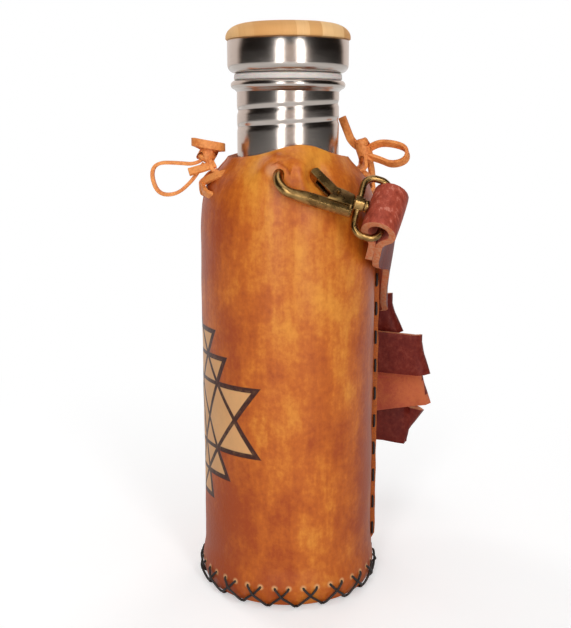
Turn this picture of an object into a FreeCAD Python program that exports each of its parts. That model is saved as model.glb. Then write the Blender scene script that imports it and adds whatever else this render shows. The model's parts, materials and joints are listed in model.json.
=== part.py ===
"""Leather bottle carrier: laced sleeve, two trigger snap hooks, shoulder strap and a steel bottle.

Millimetres, +Z up, origin at the middle of the base on the surface that it stands on.  The front hook
is on the -Y side, the decorated side of the sleeve faces -X and its seam stands out on the +X side.
"""

import FreeCAD, Part
import math
import os
import Sketcher
from FreeCAD import Matrix, Placement, Rotation, Vector

# Sizes: alias, value or formula on other sizes, meaning
SIZES = [
    ("leather", 2.5, "thickness of the sleeve leather"),
    ("body_radius", 40.0, "outside radius of the sleeve"),
    ("foot_radius", "body_radius + 0.3", "outside radius of the sleeve at its lower edge"),
    ("flare_radius", "body_radius + 1.4", "outside radius where the foot flares out"),
    ("flare_height", 9.0, "height of the widest place of the foot"),
    ("waist_height", 20.0, "height where the flare ends"),
    ("shoulder_height", 158.0, "height where the sleeve starts to draw in"),
    ("base_thickness", 3.0, "thickness of the base disc"),
    ("base_relief", 1.3, "rise of the base disc's rim, which keeps the lacing off the ground"),
    ("base_flat_radius", "body_radius - 6.5", "radius of the flat that the carrier stands on"),
    ("rise_one", 14.0, "height of the first shoulder section above the shoulder height"),
    ("rise_two", 24.0, "height of the second shoulder section"),
    ("rise_three", 32.0, "height of the third shoulder section"),
    ("rise_four", 38.0, "height of the fourth shoulder section"),
    ("rise_five", 43.0, "height of the fifth shoulder section"),
    ("rise_six", 52.0, "height of the top shoulder section"),
    ("side_one", "neck_radius + 0.988 * (body_radius - neck_radius)", "half width of the first shoulder section towards the slits"),
    ("side_two", "neck_radius + 0.919 * (body_radius - neck_radius)", "half width of the second"),
    ("side_three", "neck_radius + 0.762 * (body_radius - neck_radius)", "half width of the third"),
    ("side_four", "neck_radius + leather + 0.331 * (body_radius - neck_radius)", "half width of the fourth"),
    ("side_five", "neck_radius + leather + 1.5", "half width of the fifth"),
    ("side_six", "neck_radius + 1.2", "half width of the top section"),
    ("front_one", "neck_radius + 0.994 * (body_radius - neck_radius)", "half depth of the first shoulder section towards the hooks"),
    ("front_two", "neck_radius + 0.953 * (body_radius - neck_radius)", "half depth of the second"),
    ("front_three", "neck_radius + 0.86 * (body_radius - neck_radius)", "half depth of the third"),
    ("front_four", "neck_radius + leather + 0.576 * (body_radius - neck_radius)", "half depth of the fourth"),
    ("front_five", "neck_radius + leather + 0.413 * (body_radius - neck_radius)", "half depth of the fifth"),
    ("front_six", "neck_radius + 0.279 * (body_radius - neck_radius)", "half depth of the top section"),
    ("mouth_crest", "shoulder_height + 47.6", "height of the tongue over each hook"),
    ("mouth_shoulder", "shoulder_height + 44.6", "height where the tongue runs out"),
    ("mouth_low", "shoulder_height + 41.6", "height of the mouth at the slits"),
    ("tongue_half", 12.5, "half width of the tongue"),
    ("mouth_half", "side_five + 1.2", "half width that the mouth cut reaches"),
    ("slit_width", 2.6, "width of each slit under the lacing"),
    ("slit_foot", "shoulder_height + 21", "height of the slit's lower end"),
    ("eyelet_radius", 1.9, "radius of the lacing holes beside a slit"),
    ("eyelet_reach", 5.0, "distance of the lacing holes from the slit's middle"),
    ("eyelet_low", "shoulder_height + 26", "height of the lower pair of lacing holes"),
    ("eyelet_high", "shoulder_height + 36", "height of the upper pair of lacing holes"),
    ("fin_height", 3.2, "how far the seam stands out from the sleeve"),
    ("fin_foot", 12.0, "height of the seam's lower end"),
    ("fin_top", "shoulder_height + 14", "height of the seam's upper end"),
    ("thread", 0.9, "thickness of the waxed thread"),
    ("thread_slack", 0.15, "room round the thread in its holes"),
    ("stitch_pitch", "(fin_top - fin_foot - 8.2) / stitch_count", "distance between seam stitches"),
    ("stitch_length", 5.6, "length of a seam stitch on the front of the seam"),
    ("stitch_count", 11, "seam stitches on the front"),
    ("cross_count", 20, "cross stitches round the foot"),
    ("cross_width", 8.6, "width of a cross stitch"),
    ("cross_top", 9.3, "height of the upper ends of a cross stitch"),
    ("cross_inset", "body_radius - 4.7", "radius where the lacing goes up through the base disc"),
    ("bottle_radius", "body_radius - leather - 0.7", "outside radius of the bottle's body"),
    ("bottle_gap", 0.3, "room under the bottle"),
    ("steel_wall", 0.8, "wall of the bottle and of the lid's cup"),
    ("bottle_heel", 4.0, "chamfer of the bottle's lower edge"),
    ("bottle_shoulder", "shoulder_height", "height where the bottle's shoulder starts"),
    ("shoulder_round", "2.143 * (bottle_radius - neck_radius)", "radius of the bottle's shoulder"),
    ("neck_radius", "cup_radius - 4.1", "outside radius of the neck"),
    ("neck_foot", "shoulder_height + 0.9 * shoulder_round", "height where the shoulder meets the neck"),
    ("lip_radius", "cup_radius - 1.5", "radius of the rolled lip"),
    ("lip_foot", "shoulder_height + 71.6", "height of the lip's lower side"),
    ("lip_top", "shoulder_height + 75", "height of the bottle's rim"),
    ("gasket_gap", 0.25, "room above and below the gasket"),
    ("gasket_height", 3.5, "height of the gasket"),
    ("gasket_radius", "cup_radius - 2.9", "outside radius of the gasket"),
    ("cup_radius", 26.9, "outside radius of the lid's steel cup"),
    ("cup_height", 14.2, "height of the lid's steel cup"),
    ("cup_round", 2.6, "rounding of the cup's lower edge"),
    ("bamboo_radius", "cup_radius + 0.7", "radius of the bamboo top"),
    ("bamboo_height", 8.4, "height of the bamboo top above the cup"),
    ("bamboo_round", 6.5, "rounding of the bamboo top's edge"),
    ("bamboo_spigot", 4.0, "depth of the bamboo top inside the cup"),
    ("plug_radius", "neck_radius - steel_wall - 0.6", "radius of the lid's plug"),
    ("plug_depth", 14.0, "depth of the plug below the rim"),
    ("hook_x", -12.9, "place of the hook's inner corner, across"),
    ("hook_y", "-front_three - 4.6", "place of the hook's inner corner, to the front"),
    ("hook_z", "shoulder_height + 31.3", "place of the hook's inner corner, up"),
    ("hook_slope", 16.6, "slope of the hook bar, degrees"),
    ("hook_yaw", -9.0, "how far the shank end stands off the sleeve, degrees"),
    ("hook_lean", 48.0, "lean of the hook's plane into the leather, degrees"),
    ("bar_size", 4.8, "thickness of the hook's bar"),
    ("bend_radius", 7.5, "radius of the hook's bend"),
    ("wire_radius", 2.3, "radius of the hook's bend and nose"),
    ("nose_end", 9.5, "where the nose's round end starts, along the bar"),
    ("bar_end", 33.0, "length of the hook up to the shank"),
    ("housing_start", 22.0, "where the gate's housing starts, along the bar"),
    ("housing_top", 9.6, "height of the housing above the bar's middle"),
    ("housing_width", 6.8, "width of the housing"),
    ("gate_width", 4.2, "width of the gate"),
    ("gate_side_gap", 0.15, "room beside the gate"),
    ("gate_skin", 1.1, "thickness of the gate's walls"),
    ("gate_swing", 14.0, "how far the gate opens, degrees"),
    ("pivot_along", 25.6, "place of the gate's pin, along the bar"),
    ("pivot_up", 6.6, "place of the gate's pin above the bar's middle"),
    ("pin_radius", 1.0, "radius of the gate's pin"),
    ("pin_gap", 0.06, "running room of the gate on its pin"),
    ("shank_up", 5.2, "place of the shank above the bar's middle"),
    ("shank_radius", 1.7, "radius of the shank"),
    ("shank_gap", 0.1, "running room of the eye on the shank"),
    ("eye_length", 4.0, "length of the ring's eye"),
    ("eye_radius", 3.2, "outside radius of the ring's eye"),
    ("eye_gap", 0.3, "room at each end of the eye"),
    ("ring_wire", 1.5, "radius of the ring's wire"),
    ("ring_half_length", 5.8, "half length of the ring along the shank"),
    ("ring_half_width", "strap_width / 2 + ring_wire + 1.1", "half width of the ring"),
    ("ring_corner", 5.0, "corner radius of the ring"),
    ("front_ring_roll", 20.0, "turn of the front ring about its shank, degrees"),
    ("rear_ring_roll", 42.0, "turn of the rear ring about its shank, degrees"),
    ("bridge_along", 5.6, "middle of the raised leather over the nose, along the bar"),
    ("bridge_up", 15.0, "middle of the raised leather above the bar's middle"),
    ("bridge_half_length", 11.0, "half length of the raised leather"),
    ("bridge_half_width", 7.0, "half width of the raised leather"),
    ("bridge_half_depth", 5.0, "half depth of the raised leather"),
    ("hook_room", 0.45, "room round the hook in the leather"),
    ("strap_width", 21.5, "width of the strap"),
    ("strap_thickness", 3.0, "thickness of the strap"),
    ("loop_bore", 4.5, "inside radius of the strap's end loops"),
    ("loop_tail", 15.5, "length of a loop's tail"),
    ("loop_reach", 20.0, "distance from the shank's line where a loop ends"),
    ("loop_gap", 0.3, "gap between a loop and the strap's run"),
    ("front_leave", -80.0, "direction in which the strap leaves the front ring, degrees"),
    ("rear_leave", 62.0, "direction in which the strap leaves the rear ring, degrees"),
    ("rivet_radius", 2.8, "radius of the rivet's caps"),
    ("rivet_cap", 0.9, "height of the rivet's caps"),
    ("rivet_shank", 1.2, "radius of the rivet's shank"),
    ("rivet_along", 11.5, "place of the rivet behind the ring"),
    ("thong_width", 3.6, "width of the lacing thong"),
    ("thong_thickness", 1.6, "thickness of the lacing thong"),
]

doc = FreeCAD.newDocument("bottle_carrier")
sheet = doc.addObject("Spreadsheet::Sheet", "sizes")
for row, (alias, amount, meaning) in enumerate(SIZES, start=1):
    sheet.set("A%d" % row, meaning)
    sheet.set("B%d" % row, "0")
    sheet.setAlias("B%d" % row, alias)
for row, (alias, amount, meaning) in enumerate(SIZES, start=1):
    sheet.set("B%d" % row, "=" + amount if isinstance(amount, str) else str(amount))
doc.recompute()

X_AXIS = Vector(1, 0, 0)
Y_AXIS = Vector(0, 1, 0)
Z_AXIS = Vector(0, 0, 1)


def size(alias):
    """Value of one driving size."""
    return float(getattr(sheet, alias))


def worth(text):
    """Value of an expression on the driving sizes."""
    return float(sheet.evalExpression(text))


def bind(thing, **expressions):
    """Tie properties to expressions; a double underscore in a name stands for a dot."""
    for name, text in expressions.items():
        thing.setExpression(name.replace("__", "."), text)
    return thing


def primitive(kind, label, **expressions):
    """A Part primitive whose sizes follow the sheet."""
    return bind(doc.addObject("Part::" + kind, label), **expressions)


def boolean(kind, label, base, tool):
    """A Part::Cut or Part::Common of two objects."""
    made = doc.addObject("Part::" + kind, label)
    made.Base = base
    made.Tool = tool
    return made


def fused(label, shapes):
    made = doc.addObject("Part::MultiFuse", label)
    made.Shapes = shapes
    return made


def plain(label, shape):
    """An object that holds a shape made with Part's own functions."""
    made = doc.addObject("Part::Feature", label)
    made.Shape = shape
    return made


def origin_plane(body, role):
    return [one for one in body.Origin.OriginFeatures if one.Role == role][0]


def draw_outline(sketch, corners):
    """Closed outline whose corners are pairs of expressions, each corner fully fixed."""
    points = [Vector(worth(across), worth(up), 0) for across, up in corners]
    count = len(points)
    for index in range(count):
        sketch.addGeometry(Part.LineSegment(points[index], points[(index + 1) % count]), False)
    for index in range(count):
        sketch.addConstraint(Sketcher.Constraint("Coincident", index, 2, (index + 1) % count, 1))
    for index, (across, up) in enumerate(corners):
        for kind, text, axis in (("DistanceX", across, -2), ("DistanceY", up, -1)):
            amount = worth(text)
            if amount == 0:
                sketch.addConstraint(Sketcher.Constraint("PointOnObject", index, 1, axis))
                continue
            number = sketch.addConstraint(Sketcher.Constraint(kind, -1, 1, index, 1, amount))
            sketch.setExpression("Constraints[%d]" % number, text)


def outlined_body(label, role, corners):
    """A body with one sketch on an origin plane."""
    body = doc.addObject("PartDesign::Body", label)
    sketch = body.newObject("Sketcher::SketchObject", label + "_outline")
    sketch.AttachmentSupport = [(origin_plane(body, role), "")]
    sketch.MapMode = "FlatFace"
    draw_outline(sketch, corners)
    return body, sketch


def turned_body(label, corners):
    """A body turned round the Z axis from an outline of radius and height."""
    body, sketch = outlined_body(label, "XZ_Plane", corners)
    turn = body.newObject("PartDesign::Revolution", label + "_turn")
    turn.Profile = sketch
    turn.ReferenceAxis = (sketch, ["V_Axis"])
    turn.Angle = 360
    body.Tip = turn
    return body


def round_edges(body, radius, rims):
    """Fillet the round edges of a turned body that lie at the given radius and height."""
    doc.recompute()
    turned = body.Tip
    names = []
    for number, edge in enumerate(turned.Shape.Edges, start=1):
        if not isinstance(edge.Curve, Part.Circle):
            continue
        for across, up in rims:
            same_radius = abs(edge.Curve.Radius - worth(across)) < 1e-4
            if same_radius and abs(edge.Curve.Center.z - worth(up)) < 1e-4:
                names.append("Edge%d" % number)
    fillet = body.newObject("PartDesign::Fillet", body.Label + "_round")
    fillet.Base = (turned, names)
    fillet.setExpression("Radius", radius)
    body.Tip = fillet


def flat_face(corners):
    return Part.Face(Part.makePolygon(corners + corners[:1]))


def band(stations, width, thickness):
    """Solid of a flat band through (middle, across) stations, with straight rulings between them."""
    count = len(stations)
    rows = []
    for index, (middle, across) in enumerate(stations):
        before = stations[max(index - 1, 0)][0]
        after = stations[min(index + 1, count - 1)][0]
        side = Vector(across).normalize()
        along = after - before
        normal = (along - side * along.dot(side)).cross(side).normalize()
        half = side * (width / 2)
        lift = normal * (thickness / 2)
        rows.append([middle - half - lift, middle + half - lift,
                     middle + half + lift, middle - half + lift])
    faces = [flat_face(rows[0][::-1]), flat_face(rows[-1])]
    for first, second in zip(rows, rows[1:]):
        for corner in range(4):
            after = (corner + 1) % 4
            faces.append(Part.makeRuledSurface(Part.makeLine(first[corner], first[after]),
                                               Part.makeLine(second[corner], second[after])))
    shell = Part.makeShell(faces)
    shell.sewShape()
    solid = Part.Solid(shell)
    if solid.Volume < 0:
        solid.reverse()
    return solid


def bar_between(start, end, flat, width, thickness):
    """Straight flat bar; flat is the direction that its thickness faces."""
    along = (end - start).normalize()
    return band([(start, along.cross(flat)), (end, along.cross(flat))], width, thickness)


finished = []


def finish(made, label):
    made.Label = label
    finished.append(made)
    return made


# Sleeve: turned wall, drawn-in shoulder, raised bridges over the hooks' noses, and the seam


SHOULDER_STEPS = ("one", "two", "three", "four", "five", "six")


def shoulder_loft(label, inner):
    """Loft of the drawn-in shoulder, outside or inside of the leather."""
    sink = {"two": 0.1, "three": 0.3, "four": 0.6, "five": 0.8, "six": 0.9}
    sections = []
    for name in ("foot",) + SHOULDER_STEPS:
        side = "sizes.body_radius" if name == "foot" else "sizes.side_" + name
        front = "sizes.body_radius" if name == "foot" else "sizes.front_" + name
        up = "sizes.shoulder_height" + ("" if name == "foot" else " + sizes.rise_" + name)
        if inner:
            side += " - sizes.leather"
            front += " - sizes.leather"
            up += " - sizes.leather * %s" % sink.get(name, 0)
        section = primitive("Ellipse", label + "_" + name, MajorRadius=front, MinorRadius=side)
        section.Placement = Placement(Vector(0, 0, 0), Rotation(Z_AXIS, 90))
        bind(section, Placement__Base__z=up)
        sections.append(section)
    loft = doc.addObject("Part::Loft", label)
    loft.Sections = sections
    loft.Solid = True
    loft.Ruled = False
    return loft


def hook_frame(side):
    """Placement of a hook: X along the bar, Y towards the nose; side is -1 in front and 1 behind."""
    turn = Rotation(Z_AXIS, size("hook_yaw")).multiply(Rotation(Y_AXIS, size("hook_slope")))
    turn = turn.multiply(Rotation(X_AXIS, 90 - size("hook_lean")))
    corner = Vector(size("hook_x"), size("hook_y"), size("hook_z"))
    along = turn.multVec(X_AXIS)
    toward = turn.multVec(Y_AXIS)
    if side > 0:
        corner.y = -corner.y
        along.y = -along.y
        toward.y = -toward.y
    normal = along.cross(toward)
    turned = Matrix(along.x, toward.x, normal.x, corner.x,
                    along.y, toward.y, normal.y, corner.y,
                    along.z, toward.z, normal.z, corner.z,
                    0, 0, 0, 1)
    return Placement(turned)


SIDES = {"front": -1, "rear": 1}
HOOKS = {name: hook_frame(side) for name, side in SIDES.items()}


def bridge(label, name, thinner):
    """Ellipsoid of the raised leather over a hook's nose."""
    less = " - sizes.leather * 0.8" if thinner else ""
    made = primitive("Ellipsoid", label, Radius1="sizes.bridge_half_depth" + less,
                     Radius2="sizes.bridge_half_length" + less, Radius3="sizes.bridge_half_width" + less)
    made.Placement = HOOKS[name].multiply(
        Placement(Vector(size("bridge_along"), size("bridge_up"), 0), Rotation()))
    return made


# Outline of the gate's lever in the hook's own plane
GATE_OUTLINE = [
    ("sizes.pivot_along + 2.9", "sizes.pivot_up - 1.7"),
    ("sizes.pivot_along + 2.9", "sizes.pivot_up + 1.6"),
    ("sizes.pivot_along - 1.0", "sizes.pivot_up + 2.9"),
    ("sizes.nose_end + 5.4", "2 * sizes.bend_radius + 2.0"),
    ("sizes.nose_end + 3.4", "2 * sizes.bend_radius + 0.4"),
    ("sizes.nose_end + 3.0", "2 * sizes.bend_radius - 1.6"),
    ("sizes.pivot_along - 2.6", "sizes.pivot_up - 1.7"),
]


def hook_room(name):
    """Space that a hook's bend and nose take in the leather, and its gate as it swings."""
    reach = size("bend_radius")
    radius = size("wire_radius") + size("hook_room")
    curl = Part.makeTorus(reach, radius, Vector(0, 0, 0), Z_AXIS, 0, 360, 180)
    curl.Placement = Placement(Vector(reach, reach, 0), Rotation(Z_AXIS, 90))
    nose = Part.makeCylinder(radius, size("nose_end") + radius, Vector(reach, 2 * reach, 0), X_AXIS)
    outline = [Vector(worth(across), worth(up), 0) for across, up in GATE_OUTLINE]
    wide = size("gate_width") + 2 * size("hook_room")
    lever = flat_face(outline).makeOffset2D(size("hook_room")).extrude(Z_AXIS * wide)
    lever.translate(Z_AXIS * (-wide / 2))
    pivot = Vector(size("pivot_along"), size("pivot_up"), 0)
    swings = []
    for step in range(5):
        swung = lever.copy()
        swung.rotate(pivot, Z_AXIS, size("gate_swing") * step / 4)
        swings.append(swung)
    room = curl.fuse([nose] + swings)
    room.Placement = HOOKS[name]
    return room


wall = turned_body("sleeve_wall", [
    ("sizes.foot_radius - sizes.leather", "sizes.base_thickness"),
    ("sizes.foot_radius", "sizes.base_thickness"),
    ("sizes.flare_radius", "sizes.flare_height"),
    ("sizes.body_radius", "sizes.waist_height"),
    ("sizes.body_radius", "sizes.shoulder_height"),
    ("sizes.body_radius - sizes.leather", "sizes.shoulder_height"),
    ("sizes.body_radius - sizes.leather", "sizes.waist_height"),
    ("sizes.flare_radius - sizes.leather", "sizes.flare_height"),
])
shoulder_outside = fused("shoulder_outside", [
    shoulder_loft("outer_loft", False),
    bridge("front_bridge", "front", False),
    bridge("rear_bridge", "rear", False),
])
shoulder_inside = fused("shoulder_inside", [
    shoulder_loft("inner_loft", True),
    bridge("front_bridge_hollow", "front", True),
    bridge("rear_bridge_hollow", "rear", True),
])
shoulder = boolean("Cut", "shoulder", shoulder_outside, shoulder_inside)
fin = primitive("Box", "seam_fin",
                Length="sizes.fin_height + sizes.leather / 2", Width="2 * sizes.leather",
                Height="sizes.fin_top - sizes.fin_foot",
                Placement__Base__x="sizes.body_radius - sizes.leather / 2",
                Placement__Base__y="-sizes.leather", Placement__Base__z="sizes.fin_foot")
raw_sleeve = fused("raw_sleeve", [wall, shoulder, fin])


def mouth_cutter():
    """Everything above the wavy mouth: a tongue over each hook, low at the slits."""
    half = size("mouth_half")
    tongue = size("tongue_half")
    top = size("mouth_crest") + 20
    low, knee, crest = size("mouth_low"), size("mouth_shoulder"), size("mouth_crest")
    depth = -2 * size("body_radius")

    def point(across, up):
        return Vector(across, depth, up)

    middle_across = (half + tongue) / 2
    middle_up = (low + knee) / 2 - (knee - low) / 6
    edges = [
        Part.Arc(point(-half, low), point(-middle_across, middle_up), point(-tongue, knee)).toShape(),
        Part.Arc(point(-tongue, knee), point(0, crest), point(tongue, knee)).toShape(),
        Part.Arc(point(tongue, knee), point(middle_across, middle_up), point(half, low)).toShape(),
        Part.makePolygon([point(half, low), point(half, top), point(-half, top), point(-half, low)]),
    ]
    outline = Part.Wire([edge for made in edges for edge in made.Edges])
    return Part.Face(outline).extrude(Y_AXIS * (-2 * depth))


def slit_cutters():
    """The two slits at the sides, with their lacing holes."""
    wide = size("slit_width")
    foot = size("slit_foot")
    reach = size("body_radius") + 5
    inside = size("neck_radius") - 3
    cutters = []
    for side in (-1, 1):
        start = min(side * inside, side * reach)
        slit = Part.makeBox(reach - inside, wide, size("mouth_crest") + 10 - foot,
                            Vector(start, -wide / 2, foot))
        end = Part.makeCylinder(wide / 2, reach - inside, Vector(start, 0, foot), X_AXIS)
        cutters.append(slit.fuse(end))
        for hand in (-1, 1):
            for up in (size("eyelet_low"), size("eyelet_high")):
                cutters.append(Part.makeCylinder(size("eyelet_radius"), reach - inside,
                                                 Vector(start, hand * size("eyelet_reach"), up), X_AXIS))
    return cutters


def turned_about_z(shape, degrees):
    made = shape.copy()
    made.rotate(Vector(0, 0, 0), Z_AXIS, degrees)
    return made


def cross_places():
    return [360.0 * index / int(size("cross_count")) + 4 for index in range(int(size("cross_count")))]


def cross_half_angle():
    return math.degrees(size("cross_width") / 2 / size("flare_radius"))


def lacing_hole_cutters():
    """Holes of the foot lacing, in the sleeve's wall and in the base disc."""
    radius = size("thread") / 2 * math.sqrt(2) + size("thread_slack")
    through = size("body_radius") - 2 * size("leather")
    holes = []
    for place in cross_places():
        for hand in (-1, 1):
            turn = place + hand * cross_half_angle()
            holes.append(turned_about_z(Part.makeCylinder(
                radius, size("flare_radius") + 3 - through, Vector(through, 0, size("cross_top")), X_AXIS), turn))
            holes.append(turned_about_z(Part.makeCylinder(
                radius, size("base_thickness") + 2, Vector(size("cross_inset"), 0, -1), Z_AXIS), turn))
    return holes


def stitch_boxes(extra):
    """Legs of the seam stitches through the seam, grown by extra on each side."""
    middle = size("body_radius") + size("fin_height") / 2
    deep = size("leather") + size("thread") + 1
    boxes = []
    for index in range(int(size("stitch_count"))):
        foot = size("fin_foot") + 4 + index * size("stitch_pitch")
        for up in (foot, foot + size("stitch_length") - size("thread")):
            boxes.append(Part.makeBox(size("thread") + 2 * extra, 2 * deep, size("thread") + 2 * extra,
                                      Vector(middle - size("thread") / 2 - extra, -deep, up - extra)))
    return boxes


sleeve_cutters = [mouth_cutter()] + slit_cutters() + lacing_hole_cutters()
sleeve_cutters += stitch_boxes(size("thread_slack")) + [hook_room(name) for name in SIDES]
cut_away = plain("sleeve_cutters", Part.makeCompound(sleeve_cutters))
finish(boolean("Cut", "sleeve", raw_sleeve, cut_away), "sleeve")

# Base disc, standing on its middle, with a raised rim that the lacing passes under

raw_base = turned_body("raw_base", [
    ("0", "0"),
    ("sizes.base_flat_radius", "0"),
    ("sizes.base_flat_radius + sizes.base_relief", "sizes.base_relief"),
    ("sizes.foot_radius - sizes.thread", "sizes.base_relief"),
    ("sizes.foot_radius - sizes.thread / 2", "sizes.base_thickness"),
    ("0", "sizes.base_thickness"),
])
base_holes = plain("base_holes", Part.makeCompound(lacing_hole_cutters()))
finish(boolean("Cut", "base_disc", raw_base, base_holes), "base_disc")


def cross_stitch():
    """One cross of waxed thread over the foot, with its ends through the wall and the base."""
    thread = size("thread")
    half = cross_half_angle()
    high = size("flare_radius") + 0.9 * thread
    low = size("foot_radius") + 0.45 * thread
    under = size("base_relief") - thread * 0.6

    def ring(radius, degrees, up):
        angle = math.radians(degrees)
        return Vector(radius * math.cos(angle), radius * math.sin(angle), up)

    pieces = []
    for hand in (-1, 1):
        top = ring(high, -hand * half, size("cross_top"))
        foot = ring(low, hand * half, under)
        outward = ring(1, 0, 0)
        pieces.append(bar_between(top, foot, outward, thread, thread))
        inside = ring(size("body_radius") - size("leather") - 0.5, -hand * half, size("cross_top"))
        pieces.append(bar_between(ring(high + thread / 2, -hand * half, size("cross_top")), inside,
                                  Z_AXIS, thread, thread))
        turn_up = ring(size("cross_inset") - thread / 2, hand * half, under)
        pieces.append(bar_between(ring(low + thread / 2, hand * half, under), turn_up, Z_AXIS, thread, thread))
        rise = ring(size("cross_inset"), hand * half, under)
        pieces.append(bar_between(rise, rise + Z_AXIS * (size("base_thickness") - under), outward,
                                  thread, thread))
    return pieces[0].fuse(pieces[1:]).removeSplitter()


one_cross = cross_stitch()
finish(plain("base_lacing", Part.makeCompound([turned_about_z(one_cross, place) for place in cross_places()])),
       "base_lacing")


def seam_thread():
    """Running stitch of the seam: front bars, back bars and the legs that join them."""
    thread = size("thread")
    middle = size("body_radius") + size("fin_height") / 2
    face = size("leather")
    start = size("fin_foot") + 4
    pieces = []
    count = int(size("stitch_count"))
    for index in range(count):
        foot = start + index * size("stitch_pitch")
        long = size("stitch_length")
        pieces.append(Part.makeBox(thread, thread, long, Vector(middle - thread / 2, -face - thread, foot)))
        for up in (foot, foot + long - thread):
            pieces.append(Part.makeBox(thread, 2 * face + 2 * thread, thread,
                                       Vector(middle - thread / 2, -face - thread, up)))
        if index < count - 1:
            behind = size("stitch_pitch") - long + 2 * thread
            pieces.append(Part.makeBox(thread, thread, behind,
                                       Vector(middle - thread / 2, face, foot + long - thread)))
    return pieces[0].fuse(pieces[1:]).removeSplitter()


finish(plain("seam_stitching", seam_thread()), "seam_stitching")

# Thong lacing over each slit, with its knot, loops and tails


def shoulder_side(up):
    """Half width of the shoulder at a height, for what lies on it beside a slit."""
    rises = [0] + [size("rise_" + name) for name in SHOULDER_STEPS]
    halves = [size("body_radius")] + [size("side_" + name) for name in SHOULDER_STEPS]
    above = up - size("shoulder_height")
    for index in range(len(SHOULDER_STEPS)):
        if above <= rises[index + 1]:
            share = (above - rises[index]) / (rises[index + 1] - rises[index])
            return halves[index] + share * (halves[index + 1] - halves[index])
    return halves[-1]


def thong_cross(side):
    """Thong crossed over a slit, with its ends down through the lacing holes."""
    width, thick = size("thong_width"), size("thong_thickness")
    reach = size("eyelet_reach")
    low, high = size("eyelet_low"), size("eyelet_high")
    proud = thick / 2 + 1.4
    middle_up = (low + high) / 2
    pieces = []
    for hand in (-1, 1):
        start = Vector(side * (shoulder_side(low) + proud), hand * reach, low)
        middle = Vector(side * (shoulder_side(middle_up) + proud + 0.6), 0, middle_up)
        end = Vector(side * (shoulder_side(high) + proud), -hand * reach, high)
        across = Vector(0, 1, hand * 1.0)
        pieces.append(band([(start, across), (middle, across), (end, across)], width, thick))
        for spot in (start, end):
            inward = Vector(spot.x - side * 6, spot.y, spot.z)
            outer = Vector(spot.x + side * thick / 2, spot.y, spot.z)
            pieces.append(Part.makeCylinder(size("eyelet_radius") - 0.25, (outer - inward).Length,
                                            inward, X_AXIS * side))
    return pieces[0].fuse(pieces[1:]).removeSplitter()


ARC_STEP = 15.0


def rounded_route(corners):
    """Straight runs joined by tangent arcs: the spots along the line, and the arcs' radii."""
    spots = [corners[0]]
    radii = []
    for before, corner, after in zip(corners, corners[1:], corners[2:]):
        back, ahead = before - corner, after - corner
        reach = 0.45 * min(back.Length, ahead.Length)
        turn = math.pi - back.getAngle(ahead)
        radius = reach / math.tan(turn / 2)
        back, ahead = back.normalize(), ahead.normalize()
        centre = corner + (back + ahead).normalize() * (radius / math.cos(turn / 2))
        first, last = corner + back * reach - centre, corner + ahead * reach - centre
        steps = max(2, math.ceil(math.degrees(turn) / ARC_STEP))
        for step in range(steps + 1):
            swept = turn * step / steps
            spots.append(centre + (first * math.sin(turn - swept) + last * math.sin(swept)) * (1 / math.sin(turn)))
        radii.append(radius)
    return spots + [corners[-1]], radii


def thong(label, knot_middle, offsets, across):
    """Flat thong along a route given from its knot's middle."""
    spots, radii = rounded_route([knot_middle + Vector(*offset) for offset in offsets])
    made = band([(spot, Vector(*across)) for spot in spots], size("thong_width"), size("thong_thickness"))
    length = sum((after - before).Length for before, after in zip(spots, spots[1:]))
    print("%s: length %.1f, arc radii %s, volume %.1f, section by length %.1f" % (
        label, length, " ".join("%.1f" % radius for radius in radii), made.Volume,
        length * size("thong_width") * size("thong_thickness")))
    return made


def knot(centre, across, tilt):
    """A thong knot: three turns side by side, as one turned solid."""
    core, swell, half_turn = across * 0.33, across * 0.48, across / 6
    rims = [-3 * half_turn, -half_turn, half_turn, 3 * half_turn]
    edges = [Part.makeLine(Vector(0, 0, rims[0]), Vector(core, 0, rims[0]))]
    for low, high in zip(rims, rims[1:]):
        edges.append(Part.Arc(Vector(core, 0, low), Vector(swell, 0, (low + high) / 2),
                              Vector(core, 0, high)).toShape())
    edges.append(Part.makeLine(Vector(core, 0, rims[-1]), Vector(0, 0, rims[-1])))
    edges.append(Part.makeLine(Vector(0, 0, rims[-1]), Vector(0, 0, rims[0])))
    made = Part.Face(Part.Wire(edges)).revolve(Vector(0, 0, 0), Z_AXIS, 360)
    made.Placement = Placement(centre, Rotation(Y_AXIS, tilt))
    return made


KNOT_ACROSS = 8.0
LEFT_KNOT = Vector(-size("side_four") - 5.0, 0.5, size("mouth_low") + 2.9)
RIGHT_KNOT = Vector(size("side_four") + 4.5, 0.5, size("mouth_low") + 3.4)


def lace_run(side, knot_middle):
    """The two thong ends that rise from the upper lacing holes to the knot."""
    width, thick = size("thong_width"), size("thong_thickness")
    high = size("eyelet_high")
    runs = []
    for hand in (-1, 1):
        foot = Vector(side * (shoulder_side(high) + 3.4), hand * (size("eyelet_reach") - 0.5), high + 1.0)
        top = knot_middle + Vector(0, hand * 2.2, -2.6)
        runs.append(band([(foot, Z_AXIS.cross(Vector(side, 0, 0))), (top, Z_AXIS.cross(Vector(side, 0, 0)))],
                         width, thick))
    return runs


def thong_lacing(name, side, knot_middle):
    cross = thong_cross(side)
    return cross.fuse(lace_run(side, knot_middle)).removeSplitter()


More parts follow.
